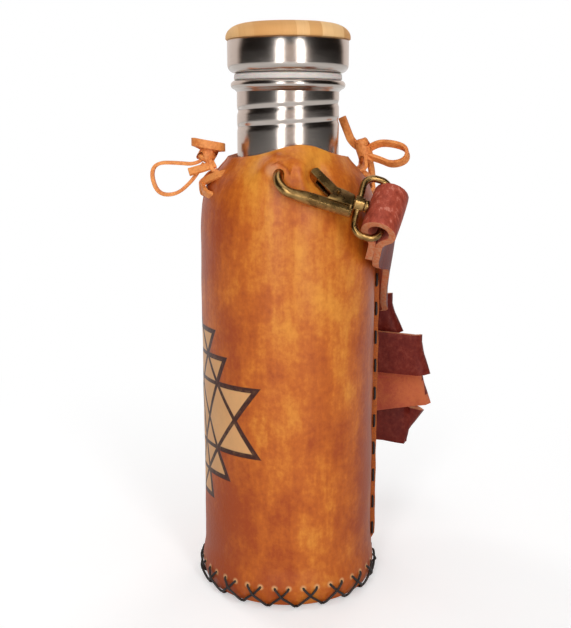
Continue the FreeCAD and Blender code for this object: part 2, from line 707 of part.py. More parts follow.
# Loops and tails of the bows: knot, corners of the route from the knot's middle, way of the width
BOWS = {
    "left_side_loop": (LEFT_KNOT, [
        (-2.9, 0.5, -1.0), (-10.3, 1.8, -1.0), (-22.1, 3.9, -3.5), (-27.5, 4.8, -10.0),
        (-22.1, 3.9, -18.5), (-12.3, 2.1, -16.0), (-3.4, 0.6, -4.0)], (0.1736, 0.985, 0)),
    "left_top_loop": (LEFT_KNOT, [
        (-0.1, 2.3, 1.3), (5.4, 1.8, 2.5), (7.4, -1.5, 2.3), (3.8, -4.5, 2.7),
        (-6.1, -3.2, 4.3), (-9.0, 0.8, 4.9), (-4.9, 3.7, 4.0), (-1.0, 2.8, 1.7)], (0, 0, 1)),
    "left_tail": (LEFT_KNOT, [
        (-2.4, -2.1, -2.0), (-5.5, -2.6, -3.7), (-10.0, -2.3, -6.7)], (-0.55, 0.35, 0.76)),
    "right_side_loop": (RIGHT_KNOT, [
        (2.7, 0.4, 1.0), (8.4, 0.9, 4.0), (17.8, -0.7, 3.5), (21.7, -4.5, -1.0),
        (16.7, -6.7, -6.7), (8.4, -4.7, -6.5), (2.8, -2.2, -2.2)], (-0.175, -0.85, 0.466)),
    "right_tail": (RIGHT_KNOT, [
        (-1.8, 0.7, 3.0), (-4.2, 1.6, 7.5), (-9.0, 3.0, 14.5)], (0.9, -0.2, 0.5)),
    "right_short_tail": (RIGHT_KNOT, [
        (2.0, 1.7, -2.5), (5.3, 2.5, -7.0), (6.1, 2.7, -14.5)], (0.2, 1, 0)),
}
left_knot = knot(LEFT_KNOT, KNOT_ACROSS, 20)
right_knot = knot(RIGHT_KNOT, KNOT_ACROSS, -15)
bows = {label: thong(label, *made_from) for label, made_from in BOWS.items()}
finish(plain("left_lacing", thong_lacing("left", -1, LEFT_KNOT).cut(left_knot)), "left_lacing")
finish(plain("right_lacing", thong_lacing("right", 1, RIGHT_KNOT).cut(right_knot)), "right_lacing")
finish(plain("left_knot", left_knot), "left_knot")
finish(plain("right_knot", right_knot), "right_knot")
for label, shape in bows.items():
    finish(plain(label, shape.cut([left_knot, right_knot])), label)

# Steel bottle, and its lid of bamboo, steel, plug and gasket

turn_end = 55.0
shoulder_end_r = "(sizes.bottle_radius - sizes.shoulder_round * (1 - cos(%s deg)))" % turn_end


def shoulder_points(inset):
    """Corners along the bottle's rounded shoulder, inset by the wall on the inside."""
    corners = []
    for degrees in (0, 14, 28, 41, 54):
        across = "sizes.bottle_radius - sizes.shoulder_round + (sizes.shoulder_round - %s) * %.6f" % (
            inset, math.cos(math.radians(degrees)))
        up = "sizes.bottle_shoulder + (sizes.shoulder_round - %s) * %.6f" % (
            inset, math.sin(math.radians(degrees)))
        corners.append((across, up))
    return corners


bottle_floor = "sizes.base_thickness + sizes.bottle_gap"
outside = [
    ("0", bottle_floor),
    ("sizes.bottle_radius - sizes.bottle_heel", bottle_floor),
    ("sizes.bottle_radius", bottle_floor + " + sizes.bottle_heel"),
] + shoulder_points("0") + [
    ("sizes.neck_radius", "sizes.neck_foot"),
    ("sizes.neck_radius", "sizes.lip_foot"),
    ("sizes.lip_radius", "sizes.lip_foot + 0.7"),
    ("sizes.lip_radius", "sizes.lip_top - 0.7"),
    ("sizes.lip_radius - 0.7", "sizes.lip_top"),
]
inside = [
    ("sizes.neck_radius - sizes.steel_wall", "sizes.lip_top"),
    ("sizes.neck_radius - sizes.steel_wall", "sizes.neck_foot"),
] + shoulder_points("sizes.steel_wall")[::-1] + [
    ("sizes.bottle_radius - sizes.steel_wall", bottle_floor + " + sizes.bottle_heel"),
    ("sizes.bottle_radius - sizes.bottle_heel", bottle_floor + " + sizes.steel_wall"),
    ("0", bottle_floor + " + sizes.steel_wall"),
]
finish(turned_body("bottle_shell", outside + inside), "bottle_shell")

gasket_foot = "sizes.lip_top + sizes.gasket_gap"
gasket_top = gasket_foot + " + sizes.gasket_height"
cup_foot = gasket_top + " + sizes.gasket_gap"
cup_top = cup_foot + " + sizes.cup_height"
finish(turned_body("lid_gasket", [
    ("sizes.plug_radius + sizes.bottle_gap", gasket_foot),
    ("sizes.gasket_radius", gasket_foot),
    ("sizes.gasket_radius", gasket_top),
    ("sizes.plug_radius + sizes.bottle_gap", gasket_top),
]), "lid_gasket")
lid_cup = turned_body("lid_cup", [
    ("sizes.plug_radius + sizes.gasket_gap / 2", cup_foot),
    ("sizes.cup_radius", cup_foot),
    ("sizes.cup_radius", cup_top),
    ("sizes.cup_radius - sizes.steel_wall", cup_top),
    ("sizes.cup_radius - sizes.steel_wall", cup_foot + " + sizes.cup_round"),
    ("sizes.cup_radius - sizes.steel_wall - sizes.cup_round", cup_foot + " + sizes.steel_wall"),
    ("sizes.plug_radius + sizes.gasket_gap / 2", cup_foot + " + sizes.steel_wall"),
])
round_edges(lid_cup, "sizes.cup_round", [("sizes.cup_radius", cup_foot)])
finish(lid_cup, "lid_cup")
plug_foot = "sizes.lip_top - sizes.plug_depth"
plug_deck = cup_foot + " + sizes.steel_wall"
finish(turned_body("lid_plug", [
    ("0", plug_foot),
    ("sizes.plug_radius - 1.2", plug_foot),
    ("sizes.plug_radius", plug_foot + " + 1.2"),
    ("sizes.plug_radius", plug_deck),
    ("sizes.cup_radius - sizes.steel_wall - sizes.cup_round", plug_deck),
    ("sizes.cup_radius - sizes.steel_wall - sizes.cup_round", plug_deck + " + 2"),
    ("0", plug_deck + " + 2"),
]), "lid_plug")
bamboo = turned_body("lid_bamboo_top", [
    ("0", cup_top + " - sizes.bamboo_spigot"),
    ("sizes.cup_radius - sizes.steel_wall", cup_top + " - sizes.bamboo_spigot"),
    ("sizes.cup_radius - sizes.steel_wall", cup_top),
    ("sizes.bamboo_radius", cup_top),
    ("sizes.bamboo_radius", cup_top + " + sizes.bamboo_height"),
    ("0", cup_top + " + sizes.bamboo_height"),
])
round_edges(bamboo, "sizes.bamboo_round", [("sizes.bamboo_radius", cup_top + " + sizes.bamboo_height")])
finish(bamboo, "lid_bamboo_top")

# Trigger snap hooks, each built along its own bar and then set in its place


def hook_body(name):
    """Bar, bend and nose, the gate's housing, and the shank with its head."""
    half = "sizes.bar_size / 2"
    bar = primitive("Box", name + "_bar", Length="sizes.bar_end - sizes.bend_radius",
                    Width="sizes.bar_size", Height="sizes.bar_size",
                    Placement__Base__x="sizes.bend_radius", Placement__Base__y="-" + half,
                    Placement__Base__z="-" + half)
    doc.recompute()
    eased = doc.addObject("Part::Fillet", name + "_eased_bar")
    eased.Base = bar
    long_edges = [number for number, edge in enumerate(bar.Shape.Edges, start=1)
                  if abs(edge.tangentAt(edge.FirstParameter).x) > 0.99]
    eased.Edges = [(number, size("bar_size") / 5, size("bar_size") / 5) for number in long_edges]
    curl = primitive("Torus", name + "_curl", Radius1="sizes.bend_radius", Radius2="sizes.wire_radius",
                     Angle3="180", Placement__Base__x="sizes.bend_radius",
                     Placement__Base__y="sizes.bend_radius")
    curl.Placement.Rotation = Rotation(Z_AXIS, 90)
    nose = primitive("Cylinder", name + "_nose", Radius="sizes.wire_radius",
                     Height="sizes.nose_end - sizes.bend_radius",
                     Placement__Base__x="sizes.bend_radius", Placement__Base__y="2 * sizes.bend_radius")
    nose.Placement.Rotation = Rotation(Y_AXIS, 90)
    tip = primitive("Sphere", name + "_nose_tip", Radius="sizes.wire_radius",
                    Placement__Base__x="sizes.nose_end", Placement__Base__y="2 * sizes.bend_radius")
    block = primitive("Box", name + "_block", Length="sizes.bar_end - sizes.housing_start",
                      Width="sizes.housing_top + " + half, Height="sizes.housing_width",
                      Placement__Base__x="sizes.housing_start", Placement__Base__y="-" + half,
                      Placement__Base__z="-sizes.housing_width / 2")
    nose_of_block = primitive("Box", name + "_block_slope", Length="sizes.housing_top",
                              Width="sizes.housing_top", Height="2 * sizes.housing_width",
                              Placement__Base__x="sizes.housing_start",
                              Placement__Base__y=half, Placement__Base__z="-sizes.housing_width")
    nose_of_block.Placement.Rotation = Rotation(Z_AXIS, 62)
    slot = primitive("Box", name + "_slot", Length="sizes.bar_end - sizes.housing_start - 1.6",
                     Width="sizes.housing_top", Height="sizes.gate_width + 2 * sizes.gate_side_gap",
                     Placement__Base__x="sizes.housing_start - 0.1", Placement__Base__y=half,
                     Placement__Base__z="-sizes.gate_width / 2 - sizes.gate_side_gap")
    hole = primitive("Cylinder", name + "_pin_hole", Radius="sizes.pin_radius",
                     Height="2 * sizes.housing_width", Placement__Base__x="sizes.pivot_along",
                     Placement__Base__y="sizes.pivot_up", Placement__Base__z="-sizes.housing_width")
    housing = boolean("Cut", name + "_housing", block, fused(name + "_hollows", [slot, hole, nose_of_block]))
    shank = primitive("Cylinder", name + "_shank", Radius="sizes.shank_radius",
                      Height="sizes.eye_length + 2 * sizes.eye_gap + 3",
                      Placement__Base__x="sizes.bar_end - 1", Placement__Base__y="sizes.shank_up")
    shank.Placement.Rotation = Rotation(Y_AXIS, 90)
    head = primitive("Cylinder", name + "_shank_head", Radius="sizes.shank_radius + 1",
                     Height="1.6", Placement__Base__y="sizes.shank_up",
                     Placement__Base__x="sizes.bar_end + sizes.eye_length + 2 * sizes.eye_gap")
    head.Placement.Rotation = Rotation(Y_AXIS, 90)
    made = fused("hook_body_" + name, [eased, curl, nose, tip, housing, shank, head])
    made.Placement = HOOKS[name]
    return made


def gate_lever(name):
    """Pressed channel lever: closed on top, open below, turning on the pin."""
    lean = "sizes.pivot_along"
    lift = "sizes.pivot_up"
    body, sketch = outlined_body("gate_" + name, "XY_Plane", GATE_OUTLINE)
    pad = body.newObject("PartDesign::Pad", "gate_pad_" + name)
    pad.Profile = sketch
    pad.Midplane = True
    pad.setExpression("Length", "sizes.gate_width")
    channel = body.newObject("Sketcher::SketchObject", "gate_channel_" + name)
    channel.AttachmentSupport = [(origin_plane(body, "XY_Plane"), "")]
    channel.MapMode = "FlatFace"
    draw_outline(channel, [
        (lean + " + 4", lift + " - 4"),
        (lean + " + 4", lift + " + 1.75 - sizes.gate_skin * 0.6"),
        (lean + " - 1.0", lift + " + 2.9 - sizes.gate_skin"),
        ("sizes.nose_end + 6.4", "2 * sizes.bend_radius + 1.5 - sizes.gate_skin"),
        ("sizes.nose_end + 6.4", lift + " - 4"),
    ])
    pocket = body.newObject("PartDesign::Pocket", "gate_hollow_" + name)
    pocket.Profile = channel
    pocket.Midplane = True
    pocket.setExpression("Length", "sizes.gate_width - 2 * sizes.gate_skin")
    doc.recompute()
    bore = primitive("Cylinder", "gate_bore_" + name, Radius="sizes.pin_radius + sizes.pin_gap",
                     Height="2 * sizes.gate_width", Placement__Base__x=lean, Placement__Base__y=lift,
                     Placement__Base__z="-sizes.gate_width")
    made = boolean("Cut", "hook_gate_" + name, body, bore)
    made.Placement = HOOKS[name]
    return made


def gate_pin(name):
    made = primitive("Cylinder", "hook_pin_" + name, Radius="sizes.pin_radius", Height="sizes.housing_width")
    made.Placement = HOOKS[name].multiply(Placement(
        Vector(size("pivot_along"), size("pivot_up"), -size("housing_width") / 2), Rotation()))
    return made


def gate_spring(name):
    """Torsion spring: a close coil on the pin, with one leg down to the floor of the housing."""
    half = size("gate_width") / 2 - size("gate_skin") - 0.1
    bore = size("pin_radius") + 0.1
    centre = Vector(size("pivot_along"), size("pivot_up"), -half)
    coil = Part.makeCylinder(bore + 0.5, 2 * half, centre, Z_AXIS)
    floor = size("bar_size") / 2
    leg = Part.makeBox(0.5, size("pivot_up") - bore - 0.2 - floor, 2 * half,
                       Vector(centre.x - 0.25, floor, -half))
    made = plain("hook_spring_" + name, coil.fuse(leg).cut(
        Part.makeCylinder(bore, 4 * half, centre - Z_AXIS * half, Z_AXIS)).removeSplitter())
    made.Placement = HOOKS[name]
    return made


def shank_line(name):
    """Placement with X along the shank, at the middle of the ring's eye, turned by the ring's roll."""
    middle = size("bar_end") + size("eye_gap") + size("eye_length") / 2
    return HOOKS[name].multiply(Placement(Vector(middle, size("shank_up"), 0),
                                          Rotation(X_AXIS, size(name + "_ring_roll"))))


def swivel_ring(name):
    """Rounded oblong ring with an eye in the middle of one long side, lying in its own XY plane."""
    wire = size("ring_wire")
    corner = size("ring_corner")
    length = size("ring_half_length")
    width = size("ring_half_width")
    flat_x = length - corner
    flat_y = width - corner
    pieces = []
    for hand in (-1, 1):
        pieces.append(Part.makeCylinder(wire, 2 * flat_y, Vector(length + hand * length, -flat_y, 0), Y_AXIS))
        pieces.append(Part.makeCylinder(wire, 2 * flat_x, Vector(length - flat_x, hand * width, 0), X_AXIS))
    for quarter in range(4):
        bend = Part.makeTorus(corner, wire, Vector(0, 0, 0), Z_AXIS, 0, 360, 90)
        across = flat_x if quarter in (0, 3) else -flat_x
        along = flat_y if quarter in (0, 1) else -flat_y
        bend.Placement = Placement(Vector(length + across, along, 0), Rotation(Z_AXIS, 90 * quarter))
        pieces.append(bend)
    eye = Part.makeCylinder(size("eye_radius"), size("eye_length"),
                            Vector(-size("eye_length") / 2, 0, 0), X_AXIS)
    bore = Part.makeCylinder(size("shank_radius") + size("shank_gap"), 2 * size("eye_length"),
                             Vector(-size("eye_length"), 0, 0), X_AXIS)
    made = plain("swivel_ring_" + name, eye.fuse(pieces).cut(bore).removeSplitter())
    made.Placement = shank_line(name)
    return made


# Strap: an end loop on each ring, and the run bunched in folds behind the sleeve


def loop_frame(name):
    """Placement at the ring's far side: X the way that the strap leaves, Y along its width."""
    far = shank_line(name).multiply(Placement(Vector(2 * size("ring_half_length"), 0, 0), Rotation()))
    slack = size("loop_bore") - size("ring_wire") - 3 * size("loop_gap")
    turned = far.multiply(Placement(Vector(0, 0, 0), Rotation(Y_AXIS, -size(name + "_leave"))))
    return turned.multiply(Placement(Vector(slack, 0, 0), Rotation()))


def loop_outline():
    """Middle line of an end loop in its own XZ plane, from the tail round the ring to the run."""
    thick = size("strap_thickness")
    lane = thick / 2 + 0.1
    radius = size("loop_bore") + thick / 2
    tail = [(size("loop_tail"), -lane), (8.0, -lane), (5.4, -lane - 1.3)]
    turn = [(radius * math.cos(math.radians(a)), -radius * math.sin(math.radians(a)))
            for a in (66, 95, 124, 152, 180, 208, 236, 265, 294)]
    run = [(5.4, lane + 1.3), (8.0, lane), (13.0, lane), (17.0, lane), (20.5, lane)]
    return tail + turn + run


def loop_stations_for(name):
    """Stations of an end loop in the object's frame."""
    frame = loop_frame(name)
    across = frame.Rotation.multVec(Y_AXIS)
    return [(frame.multVec(Vector(along, 0, lift)), across) for along, lift in loop_outline()]


# Spot where the bunch leans on the sleeve, at the shoulder's height
LEAN = Vector(0.62, 0.78, 0) * size("body_radius") + Z_AXIS * size("shoulder_height")
# Middle line of the strap from the front loop to the folds: place from that spot, way of the width
BUNCH = [
    ((19.8, -44.2, 2.0), (0.25, 0.35, 0.9)),
    ((23.2, -29.2, -8.0), (0.2, 0.2, 1.0)),
    ((26.7, -13.2, -18.5), (0.1, 0.1, 1.0)),
    ((28.7, -3.2, -24.5), (0.0, 0.0, 1.0)),
    ((26.7, 3.8, -26.5), (0.0, 0.0, 1.0)),
    ((20.2, 6.6, -27.0), (0.0, 0.0, 1.0)),
]
# Folds of the bunch from the top pass down: right end, left end, slant of the right fold
PASSES = [
    ((11.2, 8.2, -27.0), (-36.3, 17.6, -29.0), 0.0),
    ((34.4, 9.5, -37.2), (-33.8, 22.8, -37.0), -0.45),
    ((35.4, 15.4, -38.7), (-32.8, 28.6, -50.0), -0.45),
    ((48.3, 1.6, -64.0), (-38.3, 17.2, -51.5), -0.32),
    ((49.3, 7.5, -65.5), (-37.3, 23.2, -72.0), -0.32),
    ((52.6, 12.4, -80.7), (-34.8, 29.0, -92.0), -0.35),
    ((53.6, 18.3, -81.7), (-33.8, 35.0, -98.0), -0.35),
    ((49.7, 25.8, -107.5), (-29.8, 40.4, -100.0), 0.6),
    ((50.7, 31.8, -108.5), (-28.8, 46.2, -106.0), 0.6),
]
# Middle line of the strap from the folds up to the rear loop
RISE = [
    ((-12.8, 48.3, -96.0), (-0.5, 0.0, 1.0)),
    ((3.2, 44.8, -80.0), (-0.9, -0.1, 0.8)),
    ((15.2, 38.3, -59.0), (-0.8, -0.5, 0.4)),
    ((20.2, 29.3, -37.0), (-0.4, -0.9, 0.2)),
    ((19.7, 20.3, -16.0), (-0.1, -1.0, 0.0)),
]
FOLD_STEPS = 6


def fold(start, end, outward, across):
    """Stations of a fold between the ends of two passes, bulging outward."""
    middle = (start + end) * 0.5
    half = (start - end) * 0.5
    bulge = max(half.Length, 3.4)
    stations = []
    for step in range(1, FOLD_STEPS):
        angle = math.pi * step / FOLD_STEPS
        spot = middle + half * math.cos(angle) + outward * (bulge * math.sin(angle))
        stations.append((spot, across))
    return stations


def run_stations():
    """Every station of the strap from the front loop's end to the rear loop's end."""
    stations = [(LEAN + Vector(*spot), Vector(*across)) for spot, across in BUNCH]
    right_way = (Vector(*PASSES[0][0]) - Vector(*PASSES[0][1])).normalize()
    for index, (right, left, slant) in enumerate(PASSES):
        ends = [(LEAN + Vector(*right), Vector(slant, 0, 1)), (LEAN + Vector(*left), Z_AXIS)]
        goes_left = index % 2 == 0
        stations += ends if goes_left else ends[::-1]
        if index + 1 < len(PASSES):
            follow = LEAN + Vector(*PASSES[index + 1][1 if goes_left else 0])
            spot, across = stations[-1]
            stations += fold(spot, follow, right_way * (-1 if goes_left else 1), across)
    last = stations[-1][0]
    stations += fold(last, last + Vector(1.0, 6.0, 1.5), right_way * -1, Z_AXIS)
    stations += [(LEAN + Vector(*spot), Vector(*across)) for spot, across in RISE]
    return stations


def loop_limit(name, extra):
    """Cylinder about the shank's line, inside which everything turns with the ring."""
    frame = shank_line(name)
    along = frame.Rotation.multVec(X_AXIS)
    return Part.makeCylinder(size("loop_reach") + extra, 80, frame.Base - along * 20, along)


def rivet_pieces(name, grow):
    """Rivet through both layers of a loop; grow opens its hole."""
    frame = loop_frame(name)
    thick = size("strap_thickness") + 0.1
    shank = Part.makeCylinder(size("rivet_shank") + grow, 2 * thick + 0.02,
                              Vector(size("rivet_along"), 0, -thick - 0.01), Z_AXIS)
    caps = []
    for start in (-thick - size("rivet_cap"), thick):
        caps.append(Part.makeCylinder(size("rivet_radius"), size("rivet_cap"),
                                      Vector(size("rivet_along"), 0, start), Z_AXIS))
    whole = shank if grow else shank.fuse(caps).removeSplitter()
    whole.Placement = frame
    return whole


strap = (size("strap_width"), size("strap_thickness"))


def path_length(stations):
    return sum((after[0] - before[0]).Length for before, after in zip(stations, stations[1:]))


loop_bands = {name: loop_stations_for(name) for name in SIDES}
full_run = [loop_bands["front"][-2], loop_bands["front"][-1]] + run_stations()
full_run += [loop_bands["rear"][-1], loop_bands["rear"][-2]]
run = band(full_run, *strap)
print("strap run: length %.0f, volume %.0f, section by length %.0f" % (
    path_length(full_run), run.Volume, path_length(full_run) * strap[0] * strap[1]))
for name in SIDES:
    run = run.cut(loop_limit(name, size("loop_gap")))
finish(plain("strap_run", run), "strap_run")

for name in SIDES:
    finish(hook_body(name), "hook_body_" + name)
    finish(gate_lever(name), "hook_gate_" + name)
    finish(gate_pin(name), "hook_pin_" + name)
    finish(gate_spring(name), "hook_spring_" + name)
    finish(swivel_ring(name), "swivel_ring_" + name)
    end_loop = band(loop_bands[name], *strap).common(loop_limit(name, 0))
    finish(plain("strap_loop_" + name, end_loop.cut(rivet_pieces(name, 0.05))), "strap_loop_" + name)
    finish(plain("strap_rivet_" + name, rivet_pieces(name, 0)), "strap_rivet_" + name)

doc.recompute()

for thing in doc.Objects:
    if "Invalid" in thing.State or "Error" in thing.State:
        raise RuntimeError("%s failed: %s" % (thing.Label, thing.State))
for thing in finished:
    if thing.Shape.isNull() or not thing.Shape.isValid() or not thing.Shape.Solids:
        raise RuntimeError("%s has no valid solid" % thing.Label)

os.makedirs("parts", exist_ok=True)
for thing in finished:
    thing.Shape.exportStep("parts/%s.step" % thing.Label)
    box = thing.Shape.BoundBox
    print("%-20s solids %2d volume %9.1f  x %6.1f..%6.1f y %6.1f..%6.1f z %6.1f..%6.1f" % (
        thing.Label, len(thing.Shape.Solids), thing.Shape.Volume,
        box.XMin, box.XMax, box.YMin, box.YMax, box.ZMin, box.ZMax))
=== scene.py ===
"""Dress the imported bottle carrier: leather sleeve, thong bows, snap hooks, strap and steel bottle."""

import json
import math
from functools import reduce

import bmesh
import bpy
from bpy.props import FloatProperty, FloatVectorProperty, PointerProperty
from mathutils import Matrix, Vector, geometry, noise


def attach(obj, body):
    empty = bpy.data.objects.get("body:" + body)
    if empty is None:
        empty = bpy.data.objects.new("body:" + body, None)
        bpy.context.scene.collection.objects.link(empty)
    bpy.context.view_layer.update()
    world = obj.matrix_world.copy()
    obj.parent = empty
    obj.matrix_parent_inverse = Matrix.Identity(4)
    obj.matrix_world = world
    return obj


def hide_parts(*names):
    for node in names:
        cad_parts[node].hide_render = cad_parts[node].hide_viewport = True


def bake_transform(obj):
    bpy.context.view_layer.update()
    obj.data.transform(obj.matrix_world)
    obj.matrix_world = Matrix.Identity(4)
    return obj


bl_info = {
    "name": "Bottle carrier",
    "version": (1, 0, 0),
    "blender": (4, 5, 0),
    "location": "View3D > Sidebar > Carrier",
    "description": "Leather bottle carrier with snap hooks, a shoulder strap and a steel bottle",
    "category": "Add Mesh",
}

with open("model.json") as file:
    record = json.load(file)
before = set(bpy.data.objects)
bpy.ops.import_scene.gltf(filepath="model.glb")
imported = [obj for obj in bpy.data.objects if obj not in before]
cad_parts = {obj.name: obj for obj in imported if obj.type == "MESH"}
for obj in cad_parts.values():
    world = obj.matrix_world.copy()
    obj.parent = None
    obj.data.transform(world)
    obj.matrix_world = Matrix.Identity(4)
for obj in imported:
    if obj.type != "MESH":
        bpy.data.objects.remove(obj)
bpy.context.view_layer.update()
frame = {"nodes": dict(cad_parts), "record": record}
MM = 0.001
UPRIGHT = Vector((0, 0, 1))
SHARP_EDGE = math.radians(50)

# Half width and half depth of the sleeve by height, in millimetres
SLEEVE_SIDE = ((3, 40.3), (9, 41.4), (20, 40), (158, 40), (172, 39.8), (182, 38.6), (190, 35.9),
               (196, 31), (201, 26.8), (210, 24))
SLEEVE_FRONT = ((3, 40.3), (9, 41.4), (20, 40), (158, 40), (172, 39.9), (182, 39.2), (190, 37.6),
                (196, 35.2), (201, 32.4), (210, 27.6))
SLEEVE_RADIUS, FOOT_RADIUS = 40.0, 41.4
MOUTH_CREST, MOUTH_FROM, HOOKS_FROM = 206.4, 170.0, 165.0
TONGUE_HALF, TONGUE_DROP = 12.5, 3.0
SHOULDER_HALF, SHOULDER_TOP, SHOULDER_CURVE = 28.0, 200.4, 1.585
SLIT_FOOT, SLIT_HALF = 179.0, 1.3
# Rows of the sleeve's mesh: from, to and count
SLEEVE_ROWS = ((3, 21, 12), (21, 158, 44), (158, MOUTH_CREST, 42))
SLEEVE_COLUMNS, SMOOTH_BESIDE, SMOOTH_PASSES = 240, 16.0, 8
EYELET_REACH, LEFT_FRONT_REACH = 5.0, 12.5
FIN_FOOT, FIN_TOP, FIN_ROOT, FIN_EDGE = 12.0, 172.0, 38.6, 43.1
FIN_START, FIN_STOP, FIN_WAVE, FIN_GAP, FIN_SPLAY, FIN_THINNER = 4.0, 7.0, 0.3, 1.22, 0.25, 0.94
# Height and breadth of the leather's swelling and ripples, where they begin above the foot, and the seam's
SWELL, SWELL_BREADTH, RIPPLE, RIPPLE_BREADTH, SWELL_FROM = 0.35, 38.0, 0.16, 11.0, (14, 40)
SEAM_SWELL, SEAM_BREADTH = 1.7, 3.4
STITCH_PITCH, STITCH_COUNT, STITCH_LENGTH, STITCH_FOOT = 13.8, 11, 5.6, 4.4
STITCH_OUT, STITCH_PROUD, STITCH_GAP = 41.7, 3.4, 0.3
# Half a stitch: distance from the seam's middle and height above its lower end
STITCH_HALF = ((0, -0.3), (2.6, -0.2), (3.3, 0.7))
CROSS_COUNT, CROSS_START, CROSS_TOP, PUCKER_ASIDE = 20, 4.0, 9.3, 3.2
# One thread of a foot cross: radius, degrees from the middle, height, share of its lift over the other
CROSS_ROUTE = ((39, -4.6, 10.5, 0), (41.9, -4.6, 10.3, 0), (42.2, -2.6, 8.7, 0), (42.2, 0, 6.6, 1),
               (42, 4, 4.4, 0.3), (41.2, 7.6, 1.9, 0), (39.8, 8.6, 0.8, 0), (36.6, 8.6, 0.8, 0),
               (35.3, 8.6, 2.4, 0))
UNDER_LIFT, OVER_LIFT = 0.1, 0.9
# Thong over a slit: share of the way to the eyelets, height, distance off the leather
LACE_ROUTE = ((1, 184, -2.4), (0.92, 184.6, 0.9), (0.55, 186.3, 1.9), (0, 189, 2.5), (-0.55, 191.7, 1.9),
              (-0.92, 193.4, 0.9), (-1, 194, -2.4))
LACE_OVER, LACE_TOP, LACE_RISE = 0.9, 194.0, 4.6

# Frame of the front hook: inner corner, way along the bar, way up across the hook
HOOK_FRAME = ((-12.9, -42.192, 189.3), (0.9465, -0.1499, -0.2857), (0.3051, 0.7041, 0.6412))
HOOK_SIDES = ("front", "rear")
BEND_RADIUS, WIRE_RADIUS, NOSE_UP, NOSE_END, HOLE_ROOM = 7.5, 2.15, 15.0, 9.5, 0.15
NOSE_STEPS, NOSE_TURN = 5, math.radians(15)
GATE_TIP, GATE_PIVOT, BAR_END = (13.0, 15.5), (25.6, 6.6), 33.0
WEAR_SPOT = (-3.4, 8.8, 0.8)
BAR_SECTIONS = ((8.5, 2.2), (10, 3), (12, 4.2), (14.5, 6), (23, 6), (32.5, 6), (BAR_END, 6))
CHEEK = ((21.4, 0.8), (22.2, 2.4), (24.4, 7.6), (25.8, 8.6), (28.2, 8.3), (32.2, 7.3), (32.9, 6.4),
         (32.9, 0.8))
BACK_WALL = ((31.2, -1.4), (31.2, 7.2), (32.2, 7.5), (33, 6.8), (33, -1.4))
CHEEK_ROOM, CHEEK_FACE, SHANK_UP = 2.25, 2.8, 5.2
# Shank and its head: radius, from, to, rounding
SHANK = ((1.7, 32, 38, 0.1), (2.7, 37.6, 39.4, 0.5))
HOOK_COPIES = (("hook_gate", 0.35), ("hook_pin", 0.15), ("swivel_ring", 0.2), ("strap_rivet", 0.2))
# Leather over a hook's nose, in the hook's frame: where it lifts and ends along the nose, its height, where
# it lifts and ends across the nose, and how these edges spread away from the bend
LIFT_FROM, LIFT_TO, LIFT_HEIGHT, LIFT_SLOPE, LIFT_MIDDLE = (-12, -1.6), (11, 13.8), 4.5, 0.1, 12.0
LIFT_EDGE, LIFT_BACK, LIFT_SPREAD, LIFT_CALM = (6.6, 9.8), (14, 21), (3, 3.2, 9), (1, 6)
# Leather pressed in under a gate: from and to along the gate, breadth, depth, and where it is less deep
PRESS_FROM, PRESS_TO, PRESS_BESIDE = (-1.2, 1.4), (12, 20), (2.2, 8)
PRESS_DEPTH, PRESS_LESS, PRESS_END = 3.0, 1.6, (12.5, 15)
HOOK_REACH = 14.0

# Strap end loops: middle on the ring, ways of leaving, of the width and of the outer layer
STRAP_LOOPS = {
    "front": ((33.435, -43.77, 178.201), (0.0747, 0.7379, -0.6707), (0.4207, 0.5865, 0.6921),
              (0.9041, -0.3339, -0.2666)),
    "rear": ((33.488, 45.627, 177.177), (0.1952, 0.0309, -0.9803), (0.1564, -0.9877, 0),
             (-0.9682, -0.1533, -0.1977)),
}
LOOP_TAIL = ((20, -1.6), (8, -1.6), (5.4, -2.9))
LOOP_RUN = ((5.4, 2.9), (8, 1.6), (13, 1.6), (17, 1.6), (20.5, 1.6))
LOOP_RADIUS = 6.0

# Strap stations: middle of the strap and the way of its width
STRAP_DROP = (
    ((44.6, -13, 160), (0.25, 0.35, 0.9)), ((48, 2, 150), (0.2, 0.2, 1)),
    ((51.5, 18, 139.5), (0.1, 0.1, 1)), ((53.5, 28, 133.5), (0, 0, 1)),
    ((51.5, 35, 131.5), (0, 0, 1)), ((45, 37.8, 131), (0, 0, 1)),
)
STRAP_PASSES = (
    ((36, 39.4, 131), (-11.5, 48.8, 129), 0), ((59.2, 40.7, 118), (-9, 54, 121), -0.45),
    ((60.2, 46.6, 116.5), (-8, 59.8, 108), -0.45), ((73.1, 32.8, 97), (-13.5, 48.4, 106.5), -0.32),
    ((74.1, 38.7, 95.5), (-12.5, 54.4, 86), -0.32), ((77.4, 43.6, 77.3), (-10, 60.2, 66), -0.35),
    ((78.4, 49.5, 76.3), (-9, 66.2, 60), -0.35), ((75.5, 57, 51.5), (-5, 71.6, 68), 0.85),
    ((76.5, 63, 50.5), (-4, 77.4, 58), 0.85),
)
STRAP_RISE = (
    ((12, 79.5, 62), (-0.5, 0, 1)), ((28, 76, 78), (-0.9, -0.1, 0.8)), ((40, 69.5, 99), (-0.8, -0.5, 0.4)),
    ((45, 60.5, 121), (-0.4, -0.9, 0.2)), ((44.5, 51.5, 142), (-0.1, -1, 0)),
)
FLESH_PASS, FLESH_HALF, FOLD_STEPS, FOLD_BULGE, STRAP_STEP = 5, 11.2, 6, 3.4, 2.2
# Finishes of a strap, in threes for face, back and edge, and where each three starts
STRAP_FINISHES = ("strap_grain", "strap_flesh", "strap_edge", "strap_flesh", "strap_grain", "strap_edge",
                  "strap_worn_and_sheen", "strap_flesh", "strap_edge")
GRAIN_OUT, FLESH_OUT, WORN_AND_SHEEN_OUT = 0, 3, 6

